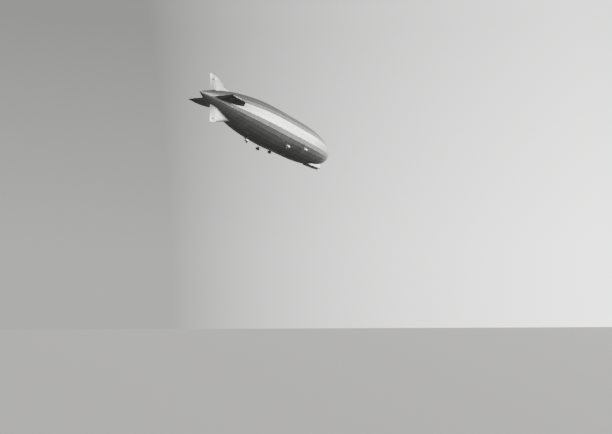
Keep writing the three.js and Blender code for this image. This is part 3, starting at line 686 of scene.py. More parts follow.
def makeSurface():
    hinge = along(tailForm["hinge"])
    heights = [0.4, 0.6, 0.8, 1.0, 1.2, 1.4, 1.5, 1.55, 1.56, 1.566, 1.57]
    outline = surfaceOutline(tailThickness(heights[0]) / 2 * tailForm["rearShare"])
    points = [(hinge + x, y, heights[0]) for x, y in outline]
    points += [(hinge + x, -y, heights[0]) for x, y in reversed(outline[1:])]
    steps = []
    for low, high in zip(heights, heights[1:]):
        steps.append(((0, 0, high - low), (1, tailThickness(high) / tailThickness(low), 1), (hinge, 0, high)))
    surface = drawOut(points, steps)
    # the root follows the hull's slope
    rearStation = tailForm["hinge"] - tailForm["chord"]
    rise = hullRadius(tailForm["hinge"]) - hullRadius(rearStation)
    cutAt = (hinge, 0, hullRadius(tailForm["hinge"]) + tailForm["hullGap"])
    startEdit(surface, "SELECT")
    bpy.ops.mesh.bisect(plane_co=cutAt, plane_no=(-rise, 0, tailForm["chord"]),
                        use_fill=True, clear_inner=True)
    endEditFacingOut()
    for height in tailForm["lugs"]:
        cutAway(surface, addBlock((0.1, 0.3, 0.009), (hinge + 0.036, 0, height)))
    smoothByAngle(surface, 35)
    parts = [surface]
    for height in tailForm["lugs"]:
        parts.append(addBar((hinge, 0, height - 0.0065), (hinge, 0, height + 0.0065), tailForm["pin"], 12))
    planes = tailForm["balance"]
    for side in (-1, 1):
        middle = (hinge + 0.02, side * planes["offset"], planes["height"])
        plane = addBlock((planes["chord"], planes["thick"], planes["span"]), middle)
        startEdit(plane)
        selectFaces(plane, lambda centre, normal: abs(normal.x) > 0.9)
        bpy.ops.transform.resize(value=(1, 0.3, 1), center_override=middle)
        endEdit()
        addModifier(plane, "BEVEL", width=0.0006, segments=2)
        parts.append(plane)
        for foot, head in ((-0.11, -0.04), (-0.05, 0.03)):
            parts.append(addBar((hinge + foot, 0, planes["height"]),
                                (hinge + head, side * planes["offset"], planes["height"]), 0.0045, 10))
    return joinAll(parts)


def makeTail():
    surface = makeSurface()
    for finName, surfaceName, degrees, outline in tailForm["quarters"]:
        turn = radians(degrees)
        part = place(makeFin(outline), turnX=turn)
        settle(part, finName + "_cover", "tailCloth", nodes=[finName])
        part = place(copyOf(surface), turnX=turn)
        settle(part, surfaceName + "_cover", "tailCloth", surfaceName, [surfaceName])
    discard(surface)


makeTail()
print("tail")

# Nose: the metal cup round the mooring spindle, the spindle with its flange and the cable's eye

noseForm = {"cupProud": 0.0012, "spindle": 0.038, "reach": 0.04, "bolts": 12, "boltCircle": 0.062}


def makeNose():
    tip = hullForm["length"]
    stations = [23.632, 23.638, 23.645, 23.65, 23.654, 23.657]
    rings = [hullRing(s, noseForm["cupProud"]) for s in stations]
    rings += roundRings([(along(23.6612), 0.052), (along(23.6622), 0.0384)])
    cup = tubeAlongX(rings, 56, fill=False)
    addModifier(cup, "SOLIDIFY", thickness=0.002, offset=-1)
    smoothByAngle(cup, 30)
    bolts = []
    for i in range(noseForm["bolts"]):
        angle = 2 * pi * i / noseForm["bolts"]
        y, z = noseForm["boltCircle"] * sin(angle), noseForm["boltCircle"] * cos(angle)
        bolts.append(addBar((along(tip) - 0.006, y, z), (along(tip) + 0.003, y, z), 0.0045, 6))
    settle(joinAll([cup] + bolts), "nose_cup", "bareMetal")

    start, r = along(23.604), noseForm["spindle"]
    end = along(tip) + noseForm["reach"]
    rings = [(start, r), (end - 0.03, r), (end - 0.028, r - 0.005), (end - 0.018, r - 0.005),
             (end - 0.016, r), (end - 0.005, r), (end - 0.001, r - 0.005), (end, r - 0.012), (end, 0.014),
             (end - 0.012, 0.01)]
    spindle = tubeAlongX(roundRings(rings), 40)
    smoothByAngle(spindle, 40)
    settle(spindle, "spindle_turned", "bareMetal", nodes=["mooring_spindle"])


makeNose()
print("nose")

# Control and passenger car

carForm = {
    "wall": 0.008, "corner": 0.025, "top": -0.8,
    # station, half width, bottom
    "sections": [(19.08, 0.08, -1.446), (19.15, 0.17, -1.449), (19.27, 0.25, -1.449), (19.45, 0.3, -1.445),
                 (21.9, 0.3, -1.385), (22.08, 0.28, -1.371), (22.2, 0.225, -1.357), (22.27, 0.15, -1.337),
                 (22.3, 0.06, -1.3)],
    # station, width, sill above the bottom, height, panes across
    "windows": [(22.0, 0.1, 0.095, 0.14, 1), (21.88, 0.1, 0.095, 0.14, 1), (21.76, 0.1, 0.095, 0.14, 1),
                (21.57, 0.08, 0.095, 0.09, 1), (21.44, 0.08, 0.095, 0.09, 1), (21.16, 0.12, 0.085, 0.09, 3),
                (20.96, 0.12, 0.085, 0.09, 3), (20.64, 0.08, 0.06, 0.07, 2), (20.44, 0.08, 0.05, 0.065, 2),
                (20.24, 0.08, 0.042, 0.058, 2), (20.04, 0.08, 0.036, 0.05, 2), (19.84, 0.08, 0.031, 0.042, 2),
                (19.6, 0.05, 0.028, 0.034, 1)],
    # x from the tail, y, degrees about the vertical, width
    "bowWindows": [(22.29, 0.0, 0, 0.086), (22.24, 0.165, 45, 0.09), (22.24, -0.165, -45, 0.09),
                   (22.13, 0.25, 70, 0.084), (22.13, -0.25, -70, 0.084)],
    "bowLow": -1.235, "bowHigh": -1.105,
    "frame": 0.007, "frameProud": 0.0022,
    "underHull": (18.3, 22.9),  # its pieces are cut to the hull's form between these stations
    "rail": {"radius": 0.0045, "y": 0.262, "drop": 0.018, "fore": 21.85, "aft": 19.52, "posts": 13,
             "post": 0.003, "inset": 0.01},
}
doorForm = {
    "station": 21.3, "width": 0.08, "sill": 0.02, "height": 0.19, "gap": 0.005,
    "wallOutside": -0.3, "wallMiddle": -0.296,  # y of the wall that it stands in
    "out": 0.006, "ahead": 0.004,  # from the wall and from the doorway to the hinge line
    "hingeUp": 0.05, "hingeHigh": 0.0095, "knuckle": 0.004, "leaf": 0.017,
    "windowHeight": 0.06, "windowUp": 0.045, "handleOut": 0.009,  # up: from the middle of the door
}


def carBottom(station):
    return lineThrough([(s, bottom) for s, half, bottom in carForm["sections"]], station)


def carHalf(station):  # rounded in plan at the bow and the stern, straight between
    rows = carForm["sections"]
    if rows[3][0] <= station <= rows[4][0]:
        return rows[3][1]
    part = rows[:4] if station < rows[3][0] else rows[4:]
    return curveThrough([(s, half) for s, half, bottom in part], station)


def makeCarForm():
    stations = [19.08, 19.1, 19.12, 19.15, 19.185, 19.225, 19.27, 19.32, 19.38, 19.45, 20.2, 21.03, 21.9,
                21.96, 22.02, 22.08, 22.12, 22.16, 22.2, 22.23, 22.25, 22.27, 22.285, 22.295, 22.3]
    top = carForm["top"]
    rows = [(along(s), carHalf(s), carBottom(s)) for s in stations]
    x, half, low = rows[0]
    points = [(x, half, top), (x, half, low), (x, -half, low), (x, -half, top)]
    steps = []
    for (x0, half0, low0), (x1, half1, low1) in zip(rows, rows[1:]):
        steps.append(((x1 - x0, 0, 0), (1, half1 / half0, (low1 - top) / (low0 - top)), (x1, 0, top)))
    car = drawOut(points, steps)
    startEdit(car)
    mesh = bmesh.from_edit_mesh(car.data)
    for edge in mesh.edges:  # the two long bottom edges are rounded
        a, b = edge.verts
        edge.select_set(abs(a.co.x - b.co.x) > 0.001 and max(a.co.z, b.co.z) < top - 0.1)
    bmesh.update_edit_mesh(car.data)
    bpy.ops.mesh.bevel(offset=carForm["corner"], segments=4, affect="EDGES")
    endEditFacingOut()
    return car


def hullOverCar(grow=0.0003):  # the hull's form above the car, to cut the car's pieces with
    aft, fore = carForm["underHull"]
    stations = [s for s in ringStations() if aft < s < fore]
    return tubeAlongX([hullRing(s, grow) for s in [aft] + stations + [fore]], hullForm["sides"])


def addFrame(width, height, border, depth, middle, turn=0.0, corner=0.008):  # upright, facing along Y
    deselectAll()
    bpy.ops.mesh.primitive_plane_add(size=1, rotation=(pi / 2, 0, 0))
    ring = bpy.context.object
    ring.scale = (width + 2 * border, height + 2 * border, 1)
    applyPlace(ring)
    startEdit(ring, "SELECT")
    bpy.ops.mesh.bevel(offset=corner, segments=3, affect="VERTICES")
    selectAll()
    bpy.ops.mesh.inset(thickness=border, depth=0)
    bpy.ops.mesh.delete(type="FACE")
    bpy.ops.mesh.select_mode(type="FACE")
    selectAll()
    bpy.ops.mesh.extrude_region_move(TRANSFORM_OT_translate={"value": (0, depth, 0)})
    selectAll()
    bpy.ops.transform.translate(value=(0, -depth / 2, 0))
    endEditFacingOut()
    return place(ring, middle, turnZ=turn)


def bowWindowLevels():  # their height and its middle
    low, high = carForm["bowLow"], carForm["bowHigh"]
    return high - low, (high + low) / 2


def windowCutters():
    cutters = []
    for station, width, sill, height, panes in carForm["windows"]:
        z = carBottom(station) + sill + height / 2
        for side in (-1, 1):
            cutters.append(addBlock((width, 0.1, height), (along(station), side * 0.28, z), edge=0.007))
    height, middle = bowWindowLevels()
    for station, y, turn, width in carForm["bowWindows"]:
        cutters.append(addBlock((0.09, width, height), (along(station), y, middle),
                                (0, 0, radians(turn)), edge=0.007))
    return cutters


def wallOutside(station):  # the wall's y and its turn in plan
    ahead, behind = carHalf(min(station + 0.004, 22.3)), carHalf(station - 0.004)
    return carHalf(station), atan2(ahead - behind, 0.008)


def windowFrames():
    pieces = []
    border, proud = carForm["frame"], carForm["frameProud"]
    for station, width, sill, height, panes in carForm["windows"]:
        z = carBottom(station) + sill + height / 2
        y, turn = wallOutside(station)
        for side in (-1, 1):
            where = (along(station), side * y, z)
            pieces.append(addFrame(width, height, border, 2 * proud, where, side * turn))
            for k in range(1, panes):
                x = along(station) - width / 2 + width * k / panes
                pieces.append(addBlock((0.004, 0.006, height), (x, side * (y - 0.003), z)))
            if height > 0.12:  # the tall windows of the control room have a bar across
                where = (along(station), side * (y - 0.004), z + 0.03)
                pieces.append(addBlock((width, 0.005, 0.005), where, (0, 0, side * turn)))
    return pieces


def bowFrames():
    height, middle = bowWindowLevels()
    pieces = []
    for station, y, turn, width in carForm["bowWindows"]:
        wallAt = carForm["sections"][-1][0]
        while carHalf(wallAt) < abs(y):
            wallAt -= 0.002
        turn = radians(turn)
        out = Vector((cos(turn), sin(turn), 0))
        where = Vector((along(wallAt), y, middle)) - out * 0.001
        pieces.append(addFrame(width, height, carForm["frame"], 0.009, where, turn + pi / 2))
        where = where - out * 0.003 + Vector((0, 0, 0.03))
        pieces.append(addBlock((0.005, width, 0.005), where, (0, 0, turn)))
    return pieces


def doorPlace():  # x and height of its middle
    low = carBottom(doorForm["station"]) + doorForm["sill"]
    return along(doorForm["station"]), low + doorForm["height"] / 2


def makeCarShell():
    car = makeCarForm()
    startEdit(car)
    selectFaces(car, lambda centre, normal: centre.z > carForm["top"] - 0.001 and abs(normal.z) > 0.9)
    bpy.ops.mesh.delete(type="FACE")
    endEdit()
    addModifier(car, "SOLIDIFY", thickness=carForm["wall"], offset=-1)
    cutAway(car, hullOverCar())
    cutAway(car, joinAll(windowCutters()))
    x, middle = doorPlace()
    cutAway(car, addBlock((doorForm["width"], 0.03, doorForm["height"]), (x, doorForm["wallMiddle"], middle),
                          edge=0.003))
    smoothByAngle(car, 28)
    return car


def makeCarTrim():  # the windows' frames, the door's frame, and the rub strips along the walls
    pieces = windowFrames() + bowFrames()
    x, middle = doorPlace()
    pieces.append(addFrame(doorForm["width"], doorForm["height"], 0.008, 0.004,
                           (x, doorForm["wallOutside"], middle), corner=0.006))
    for side in (-1, 1):
        for above, out, aft, fore in ((0.015, 0.2985, 19.5, 21.88), (0.205, 0.3005, 21.37, 21.69)):
            ends = [(along(s), side * out, carBottom(s) + above) for s in (aft, fore)]
            pieces.append(addBar(*ends, 0.003, 6))
    return joinAll(pieces)


def makeLandingRail(name, side):  # the landing party holds the ship by it
    rail = carForm["rail"]
    y, first, last = side * rail["y"], rail["aft"] + rail["inset"], rail["fore"] - rail["inset"]
    ends = [(along(s), y, carBottom(s) - rail["drop"]) for s in (rail["aft"], rail["fore"])]
    pieces = [addBar(*ends, rail["radius"], 14)]
    for i in range(rail["posts"]):
        station = first + (last - first) * i / (rail["posts"] - 1)
        x, low = along(station), carBottom(station)
        head = (x, y, low - 0.0003)
        pieces.append(addBar((x, y, low - rail["drop"]), head, rail["post"], 10))
        pieces.append(addBar((x, y, low - 0.0022), head, rail["post"] * 2.2, 12))
    settle(joinAll(pieces), name + "_turned", "strutPaint", nodes=[name])


def hingePlaces():  # of the door's two hinges, at the middle of the door's own knuckle
    x, middle = doorPlace()
    x, y = x + doorForm["width"] / 2 + doorForm["ahead"], doorForm["wallOutside"] - doorForm["out"]
    return [(x, y, middle + up) for up in (-doorForm["hingeUp"], doorForm["hingeUp"])]


def makeDoor():
    width = doorForm["width"] - 2 * doorForm["gap"]
    height = doorForm["height"] - 2 * doorForm["gap"]
    x, z = doorPlace()
    y, tall, up = doorForm["wallMiddle"], doorForm["windowHeight"], doorForm["windowUp"]
    panel = addBlock((width, 0.008, height), (x, y, z), edge=0.001)
    cutAway(panel, addBlock((width - 0.024, 0.02, tall), (x, y, z + up), edge=0.004))
    parts = [panel]
    parts.append(addFrame(width - 0.024, tall, 0.004, 0.0105, (x, y - 0.0005, z + up), corner=0.004))
    parts.append(addFrame(width - 0.026, 0.07, 0.0025, 0.0095, (x, y, z - up), corner=0.002))
    for hingeX, hingeY, level in hingePlaces():
        leaf = (doorForm["leaf"], 0.0056, doorForm["hingeHigh"])
        parts.append(addRing(doorForm["knuckle"], 0.0022, 0.01, (hingeX, hingeY, level), 16))
        parts.append(addBlock(leaf, (hingeX - 0.0115, hingeY + 0.0028, level), edge=0.0006))
    handle, out = x - width / 2 + 0.009, doorForm["wallOutside"] - doorForm["handleOut"]
    parts.append(addBar((handle, doorForm["wallOutside"], z), (handle, out, z), 0.0022, 10))
    parts.append(addBar((handle - 0.002, out, z), (handle + 0.018, out, z), 0.002, 10))
    settle(joinAll(parts), "entrance_door_panel", "carCloth", "entrance_door",
           ["entrance_door"])
    pane = addBlock((width - 0.022, 0.002, 0.062), (x, y + 0.0005, z + up), edge=0.0006)
    settle(pane, "entrance_door_pane", "glass", "entrance_door")


def makeHingeLeaves():  # on the car's side of the door
    parts = []
    for x, y, level in hingePlaces():
        under = level - 0.0106
        leaf = (doorForm["leaf"], 0.0058, doorForm["hingeHigh"])
        parts.append(addBar((x, y, under - 0.005), (x, y, under + 0.005), doorForm["knuckle"], 16))
        parts.append(addBar((x, y, under), (x, y, level + 0.0043), 0.0018, 12))
        parts.append(addBlock(leaf, (x + 0.0115, y + 0.0029, under), edge=0.0006))
    return joinAll(parts)


def makeBag(name, node, length, radius, centre, flat, around):  # flat: height of its underside
    half = length / 2
    shares = [-1, -0.985, -0.94, -0.86, -0.74, -0.58, -0.38, -0.14]
    shares += [-share for share in reversed(shares)]
    rings = []
    for share in shares:
        r = radius * max(0.05, (1 - abs(share) ** 2.4)) ** 0.52
        rings.append((centre[0] + share * half, r))
    bag = tubeAlongX(roundRings(rings), 24, centre=(centre[1], centre[2]))
    quiltPanels(bag, 0.0012, 0.0006)
    startEdit(bag, "SELECT")
    bpy.ops.mesh.bisect(plane_co=(0, 0, flat), plane_no=(0, 0, 1), use_fill=True, clear_inner=True)
    endEdit()
    cutAway(bag, around)
    addModifier(bag, "SUBSURF", levels=1, render_levels=1)
    smoothByAngle(bag, 50)
    settle(bag, name, "bagCanvas", nodes=[node])


# What shows through the windows: the rooms' walls, the lounge, the berths and the steering stands
rooms = {
    "deckTop": 0.0146, "panel": 0.005,
    "straight": (19.45, 21.9), "cutAt": 20.6,  # the car's bottom is straight here
    "underHull": 0.0012,  # how far the walls and berths stay under the hull
    "acrossAt": [21.66, 21.37, 21.235, 20.78, 19.73],
    "corridor": (0.06, 20.78, 19.73), "cabinWalls": [20.54, 20.34, 20.14, 19.94],
    "tables": [(21.1, 0.17), (21.1, -0.17), (20.9, 0.17), (20.9, -0.17)],
    "berths": [20.64, 20.44, 20.24, 20.04, 19.84],
}


def onDeck(station, y, above):
    return Vector((along(station), y, carBottom(station) + rooms["deckTop"] + above))


def makeRoomWalls():
    thin = rooms["panel"]
    parts = []
    for station in rooms["acrossAt"]:
        for side in (-1, 1):  # each wall leaves a doorway in the middle
            parts.append(addBlock((thin, 0.246, 0.7), onDeck(station, side * 0.163, 0.35)))
    y, fore, aft = rooms["corridor"]
    for side in (-1, 1):
        parts.append(addBlock((fore - aft - 2 * thin, thin, 0.9), onDeck((fore + aft) / 2, side * y, 0.4)))
        for station in rooms["cabinWalls"]:
            parts.append(addBlock((thin, 0.22, 0.7), onDeck(station, side * (y + 0.116), 0.35)))
    above = hullOverCar(rooms["underHull"])
    for part in parts:
        cutAway(part, above, keep=True)
    discard(above)
    walls = joinAll(parts)
    # and cut along the deck's top, which slopes with the car's bottom
    aft, fore = rooms["straight"]
    slope = atan2(carBottom(fore) - carBottom(aft), fore - aft)
    startEdit(walls, "SELECT")
    bpy.ops.mesh.bisect(plane_co=onDeck(rooms["cutAt"], 0, 0),
                        plane_no=(-sin(slope), 0, cos(slope)), use_fill=True, clear_inner=True)
    endEdit()
    settle(walls, "room_walls", "cabinPanel")


def makeLounge():
    parts = []
    for station, y in rooms["tables"]:
        parts.append(addBlock((0.075, 0.085, 0.003), onDeck(station, y, 0.072), edge=0.001))
        parts.append(addBar(onDeck(station, y, 0.0003), onDeck(station, y, 0.071), 0.004, 12))
        parts.append(addBar(onDeck(station, y, 0.0003), onDeck(station, y, 0.0035), 0.017, 20))
        for end in (-1, 1):
            for hand in (-1, 1):
                x, z = station + end * 0.064, hand * 0.026
                parts.append(addBlock((0.036, 0.038, 0.004), onDeck(x, y + z, 0.043), edge=0.0015))
                back = onDeck(x + end * 0.019, y + z, 0.068)
                parts.append(addBlock((0.003, 0.036, 0.04), back, (0, end * 0.18, 0), edge=0.0012))
                for footX in (-0.015, 0.015):
                    for footY in (-0.016, 0.016):
                        foot = onDeck(x + footX, y + z + footY, 0.0003)
                        parts.append(addBar(foot, foot + Vector((0, 0, 0.0412)), 0.0014, 6))
    settle(joinAll(parts), "lounge_tables", "bladeWood")


def makeBerths():
    parts = []
    for station in rooms["berths"]:
        for side in (-1, 1):
            for above in (0.03, 0.08):
                middle = onDeck(station - 0.05, side * 0.168, above)
                parts.append(addBlock((0.068, 0.2, 0.006), middle, edge=0.002))
    berths = joinAll(parts)
    cutAway(berths, hullOverCar(rooms["underHull"]))
    settle(berths, "cabin_berths", "cabinPanel")


def addSpokedWheel(radius, middle, turn):
    parts = [addHoop(radius, 0.0028, (0, 0, 0), 36)]
    parts.append(addBar((-0.008, 0, 0), (0.008, 0, 0), 0.008, 16))
    for k in range(8):
        angle = pi * k / 4
        rim = radius + (0.014 if k % 2 else 0.0)  # every second spoke ends in a grip
        parts.append(addBar((0, 0, 0), (0, rim * sin(angle), rim * cos(angle)), 0.0017, 8))
    return place(joinAll(parts), middle, turnZ=turn)


def makeSteeringStands():
    parts = []
    for station, y, turn, radius in ((22.13, 0.0, 0.0, 0.042), (21.98, 0.19, pi / 2, 0.05)):
        middle = onDeck(station, y, 0.098)
        parts.append(addSpokedWheel(radius, middle, turn))
        away = Vector((-0.018, 0, 0)) if turn == 0 else Vector((0, 0.018, 0))
        parts.append(addBar(onDeck(station, y, 0.0003) + away, middle + away, 0.008, 14, flat=1.3))
        parts.append(addBar(middle + away, middle, 0.0045, 10))
        parts.append(addBlock((0.024, 0.03, 0.022), middle + away + Vector((0, 0, 0.008)), edge=0.003))
    parts.append(addBlock((0.14, 0.11, 0.004), onDeck(21.78, -0.21, 0.078), edge=0.001))  # the chart table
    for x in (21.72, 21.84):
        for y in (-0.165, -0.255):
            parts.append(addBar(onDeck(x, y, 0.0003), onDeck(x, y, 0.077), 0.003, 8))
    settle(joinAll(parts), "steering_stands", "strutPaint")


def makePassengerCar():
    shell = joinAll([makeCarShell(), makeHingeLeaves()])
    settle(shell, "car_shell_cover", "carCloth", nodes=["car_shell"])
    settle(makeCarTrim(), "car_trim", "trimMetal")
    makeLandingRail("port_landing_rail", 1)
    makeLandingRail("starboard_landing_rail", -1)
    makeDoor()
    makeRoomWalls()
    makeLounge()
    makeBerths()
    makeSteeringStands()
    middle = (along(21.9), 0, -1.42)
    makeBag("forward_bumper_bag", "forward_bumper", 0.3, 0.072, middle, -1.486, makeCarForm())


makePassengerCar()
print("passenger car")

# Engine cars

engineCarForm = {
    # ahead of the car's centre, half width; the car is oval, taller than wide
    "profile": [(-0.3, 0.02), (-0.235, 0.052), (-0.14, 0.082), (-0.03, 0.098), (0.06, 0.1), (0.15, 0.092),
                (0.225, 0.076), (0.275, 0.058), (0.292, 0.05)],
    "wide": 0.917, "high": 1.18, "wall": 0.008, "sides": 32,
    "bands": [-0.17, 0.145, 0.22], "bandHalf": 0.004, "bandProud": 0.0014,
    "windows": [(0.025, 0.06), (0.088, 0.04)], "windowMiddle": 0.048, "windowHeight": 0.045,
    "hatchX": -0.038, "hatchLength": 0.05, "hatchWidth": 0.046,
    "cars": [("forward_port", 15.13, 1.49, -1.08), ("forward_starboard", 15.13, -1.49, -1.08),
             ("aft_port", 12.15, 1.22, -1.36), ("aft_starboard", 12.15, -1.22, -1.36),
             ("centre", 7.3, 0.0, -1.715)],
}
strutForm = {
    "stations": [-0.08, 0.13], "footTurn": 42, "headTurn": 12, "radius": 0.0058, "flat": 1.7,
    "saddleWidth": 0.024, "saddleThick": 0.006, "saddleLow": 0.066, "wire": 0.0011,
}
propellerForm = {"plane": -0.328, "radius": 0.17, "sections": 14, "rootPitch": 1.1, "tipPitch": 0.35}


def engineCarRadius(x):
    return curveThrough(engineCarForm["profile"], x)


def besideEngineCar(x, turn, out):  # a point off the car's skin; turn: radians from straight up
    r = engineCarRadius(x) + out
    return Vector((x, r * engineCarForm["wide"] * sin(turn), r * engineCarForm["high"] * cos(turn)))


def engineCarRings(grow=0.0, bands=True):
    places = [-0.3, -0.295, -0.285, -0.265, -0.235, -0.2, -0.14, -0.085, -0.03, 0.015, 0.06, 0.105, 0.18,
              0.25, 0.275, 0.286, 0.292]
    rows = [(x, engineCarRadius(x) + grow) for x in places]
    if bands:
        for middle in engineCarForm["bands"]:
            for end in (-1, 1):
                x = middle + end * engineCarForm["bandHalf"]
                r = engineCarRadius(x) + grow
                rows += [(x, r), (x - end * 0.0005, r + engineCarForm["bandProud"])]
        rows.sort()
    return [(x, r * engineCarForm["wide"], r * engineCarForm["high"]) for x, r in rows]


def makeEngineCarShell(side):  # side: radians round the car from straight up, where the hull lies
    car = tubeAlongX(engineCarRings(), engineCarForm["sides"], fill=False)
    startEdit(car, "SELECT")
    bpy.ops.mesh.fill_holes(sides=0)
    selectAll()
    bpy.ops.mesh.remove_doubles(threshold=0.00002)
    endEditFacingOut()
    addModifier(car, "SOLIDIFY", thickness=engineCarForm["wall"], offset=-1, use_even_offset=False)
    cutters = [addBar((0.27, 0, 0), (0.33, 0, 0), 0.038, 28), addBar((-0.34, 0, 0), (-0.2, 0, 0), 0.0094, 20)]
    for x, width in engineCarForm["windows"]:
        cutters.append(addBlock((width, 0.4, engineCarForm["windowHeight"]),
                                (x, 0, engineCarForm["windowMiddle"]), edge=0.004))
    hatch = addBlock((engineCarForm["hatchLength"], engineCarForm["hatchWidth"], 0.3),
                     (engineCarForm["hatchX"], 0, 0.15), edge=0.004)
    cutters.append(place(hatch, turnX=-side))
    cutAway(car, joinAll(cutters))
    smoothByAngle(car, 30)
    return car


def engineCarTrim():
    parts = []
    wide, high, z = engineCarForm["wide"], engineCarForm["high"], engineCarForm["windowMiddle"]
    for x, width in engineCarForm["windows"]:
        for hand in (-1, 1):
            r = engineCarRadius(x)
            y = r * wide * sqrt(1 - (z / (r * high)) ** 2)
            lean = atan2(y / wide ** 2, z / high ** 2)
            ring = addFrame(width, engineCarForm["windowHeight"] * 1.1, 0.004, 0.003, (0, 0, 0), corner=0.005)
            ring = place(ring, turnX=hand * (pi / 2 - lean))
            parts.append(place(ring, (x, hand * y, z)))
    # cooling-air slots behind the engine, low on both sides
    for hand in (-1, 1):
        for i in range(6):
            x = -0.125 - 0.014 * i
            middle = (x, hand * (engineCarRadius(x) * wide - 0.0005), -0.012)
            parts.append(addBlock((0.004, 0.004, 0.05), middle, (0, 0, hand * 0.5), edge=0.0008))
    # exhaust stubs, one for each pair of cylinders
    for hand in (-1, 1):
        for i in range(3):
            x = 0.045 * i
            y = engineCarRadius(x) * wide * 0.93
            z = 0.43 * engineCarRadius(x) * high - 0.058
            parts.append(addBar((x, hand * (y - 0.01), z - 0.03), (x - 0.004, hand * (y + 0.008), z - 0.034),
                                0.0045, 10))
    return joinAll(parts)


def makeEngineBlock():
    parts = [addBlock((0.15, 0.046, 0.05), (0.025, 0, -0.048), edge=0.004),
             addBlock((0.13, 0.03, 0.012), (0.025, 0, -0.07), edge=0.003)]
    for hand in (-1, 1):
        for i in range(6):
            x = -0.035 + 0.024 * i
            foot, head = (x, hand * 0.01, -0.03), (x, hand * 0.027, 0.026)
            parts.append(addBar(foot, head, 0.0098, 12))
            parts.append(addBar(head, (x, hand * 0.0286, 0.031), 0.0072, 8))
        parts.append(addBar((-0.045, hand * 0.03, 0.03), (0.095, hand * 0.03, 0.03), 0.0045, 10))
    parts.append(addBar((-0.04, 0, 0.014), (0.09, 0, 0.014), 0.008, 12))
    for x in (-0.03, 0.08):
        parts.append(addBlock((0.014, 0.17, 0.016), (x, 0, -0.04), edge=0.0015))
    return joinAll(parts)


def makeRadiator():
    rim = addHoop(0.0385, 0.0014, (0.2785, 0, 0), 36)
    core = addBar((0.2745, 0, 0), (0.2795, 0, 0), 0.0385, 36)
    parts = [rim, core]
    for i in range(-6, 7):  # upright shutters
        y = i * 0.0056
        half = sqrt(max(0.0384 ** 2 - y ** 2, 0))
        parts.append(addBlock((0.0035, 0.0006, 2 * half), (0.2812, y, 0), (0, 0, 0.5)))
    return joinAll(parts)


def towardsHull(foot, head):  # where the line meets the hull's skin
    foot, head = Vector(foot), Vector(head)
    for i in range(1, 201):
        point = foot.lerp(head, i / 200)
        reach = hypot(point.y, point.z)
        if reach < hullRadius(point.x + liftStation) * 0.9935:  # the middle of a flat facet
            return point
    return head


def makeSaddles(side):  # straps round the lower half of the car, their open side towards the hull
    thick = strutForm["saddleThick"]
    away = (0, sin(side), cos(side))
    straps = []
    for x in strutForm["stations"]:
        half = strutForm["saddleWidth"] / 2
        rows = []
        for at in (x - half, x - half + 0.001, x + half - 0.001, x + half):
            r = engineCarRadius(at) + 0.0003
            flare = 0.0012 if at in (x - half, x + half) else 0
            rows.append((at, r * engineCarForm["wide"] + flare + thick * 0.5,
                         r * engineCarForm["high"] + thick * 0.5))
        strap = tubeAlongX(rows, 48, fill=False)
        addModifier(strap, "SOLIDIFY", thickness=thick * 0.9, offset=0)
        startEdit(strap, "SELECT")
        bpy.ops.mesh.bisect(plane_co=tuple(strutForm["saddleLow"] * a for a in away), plane_no=away,
                            use_fill=True, clear_inner=True)
        endEdit()
        smoothByAngle(strap, 30)
        straps.append(strap)
    return straps


def makeStruts(station, y, z, side):
    centre = Vector((along(station), y, z))
    parts = makeSaddles(side)
    feet, heads = {}, {}
    radius = strutForm["radius"]
    for i, hand in ((0, 1), (1, -1)):
        turn = side - hand * radians(strutForm["footTurn"])
        run = [besideEngineCar(x, turn, 0.0045) for x in (-0.08, -0.03, 0.025, 0.08, 0.13)]
        for a, b in zip(run, run[1:]):
            parts.append(addBar(a, b, 0.004, 10))
        # The heads lie on the hull's full radius, as in the CAD. The hull is narrower at the centre car, so
        # that car's legs end in the air.
        around = atan2(y, -z) + hand * radians(strutForm["headTurn"])
        reach = hullForm["radius"]
        for x in strutForm["stations"]:
            foot = besideEngineCar(x, turn, 0.004)
            head = Vector((x * 1.6, sin(around) * reach - y, -cos(around) * reach - z))
            head = towardsHull(foot + centre, head + centre) - centre
            feet[(i, x)], heads[(i, x)] = foot, head
            parts.append(addBar(foot, head, radius, 16, flat=strutForm["flat"]))
            parts.append(addBar(foot.lerp(head, 0.93), head, radius * 1.5, 16, flat=1.3))  # the collar
    # bracing wires, crossed between the two legs of a side and between the two of a station
    aft, fore = strutForm["stations"]
    wires = [((i, start), (i, end)) for i in (0, 1) for start, end in ((fore, aft), (aft, fore))]
    wires += [((i, x), (1 - i, x)) for x in (fore, aft) for i in (0, 1)]
    for low, high in wires:
        parts.append(addBar(feet[low].lerp(heads[low], 0.06), heads[high].lerp(feet[high], 0.08),
                            strutForm["wire"], 6))
    return joinAll(parts)


def makeLadder(station, y, z, side):
    centre = Vector((along(station), y, z))
    away = Vector((0, sin(side), cos(side)))
    x, start, half, pitch = engineCarForm["hatchX"], 0.1, 0.022, 0.03
    parts = []
    for hand in (-1, 1):
        foot = Vector((x + hand * half, 0, 0)) + away * (start + 0.015)
        head = towardsHull(foot + centre, foot + centre + away * 0.5) - centre
        parts.append(addBar(foot, head, 0.0036, 10))
    for i in range(int(((head - foot).length - 0.02) / pitch)):  # as many rungs as the fore stile takes
        height = start + 0.05 + pitch * i
        ends = [Vector((x + hand * half, 0, 0)) + away * height for hand in (-1, 1)]
        parts.append(addBar(*ends, 0.0022, 8))
    return joinAll(parts)


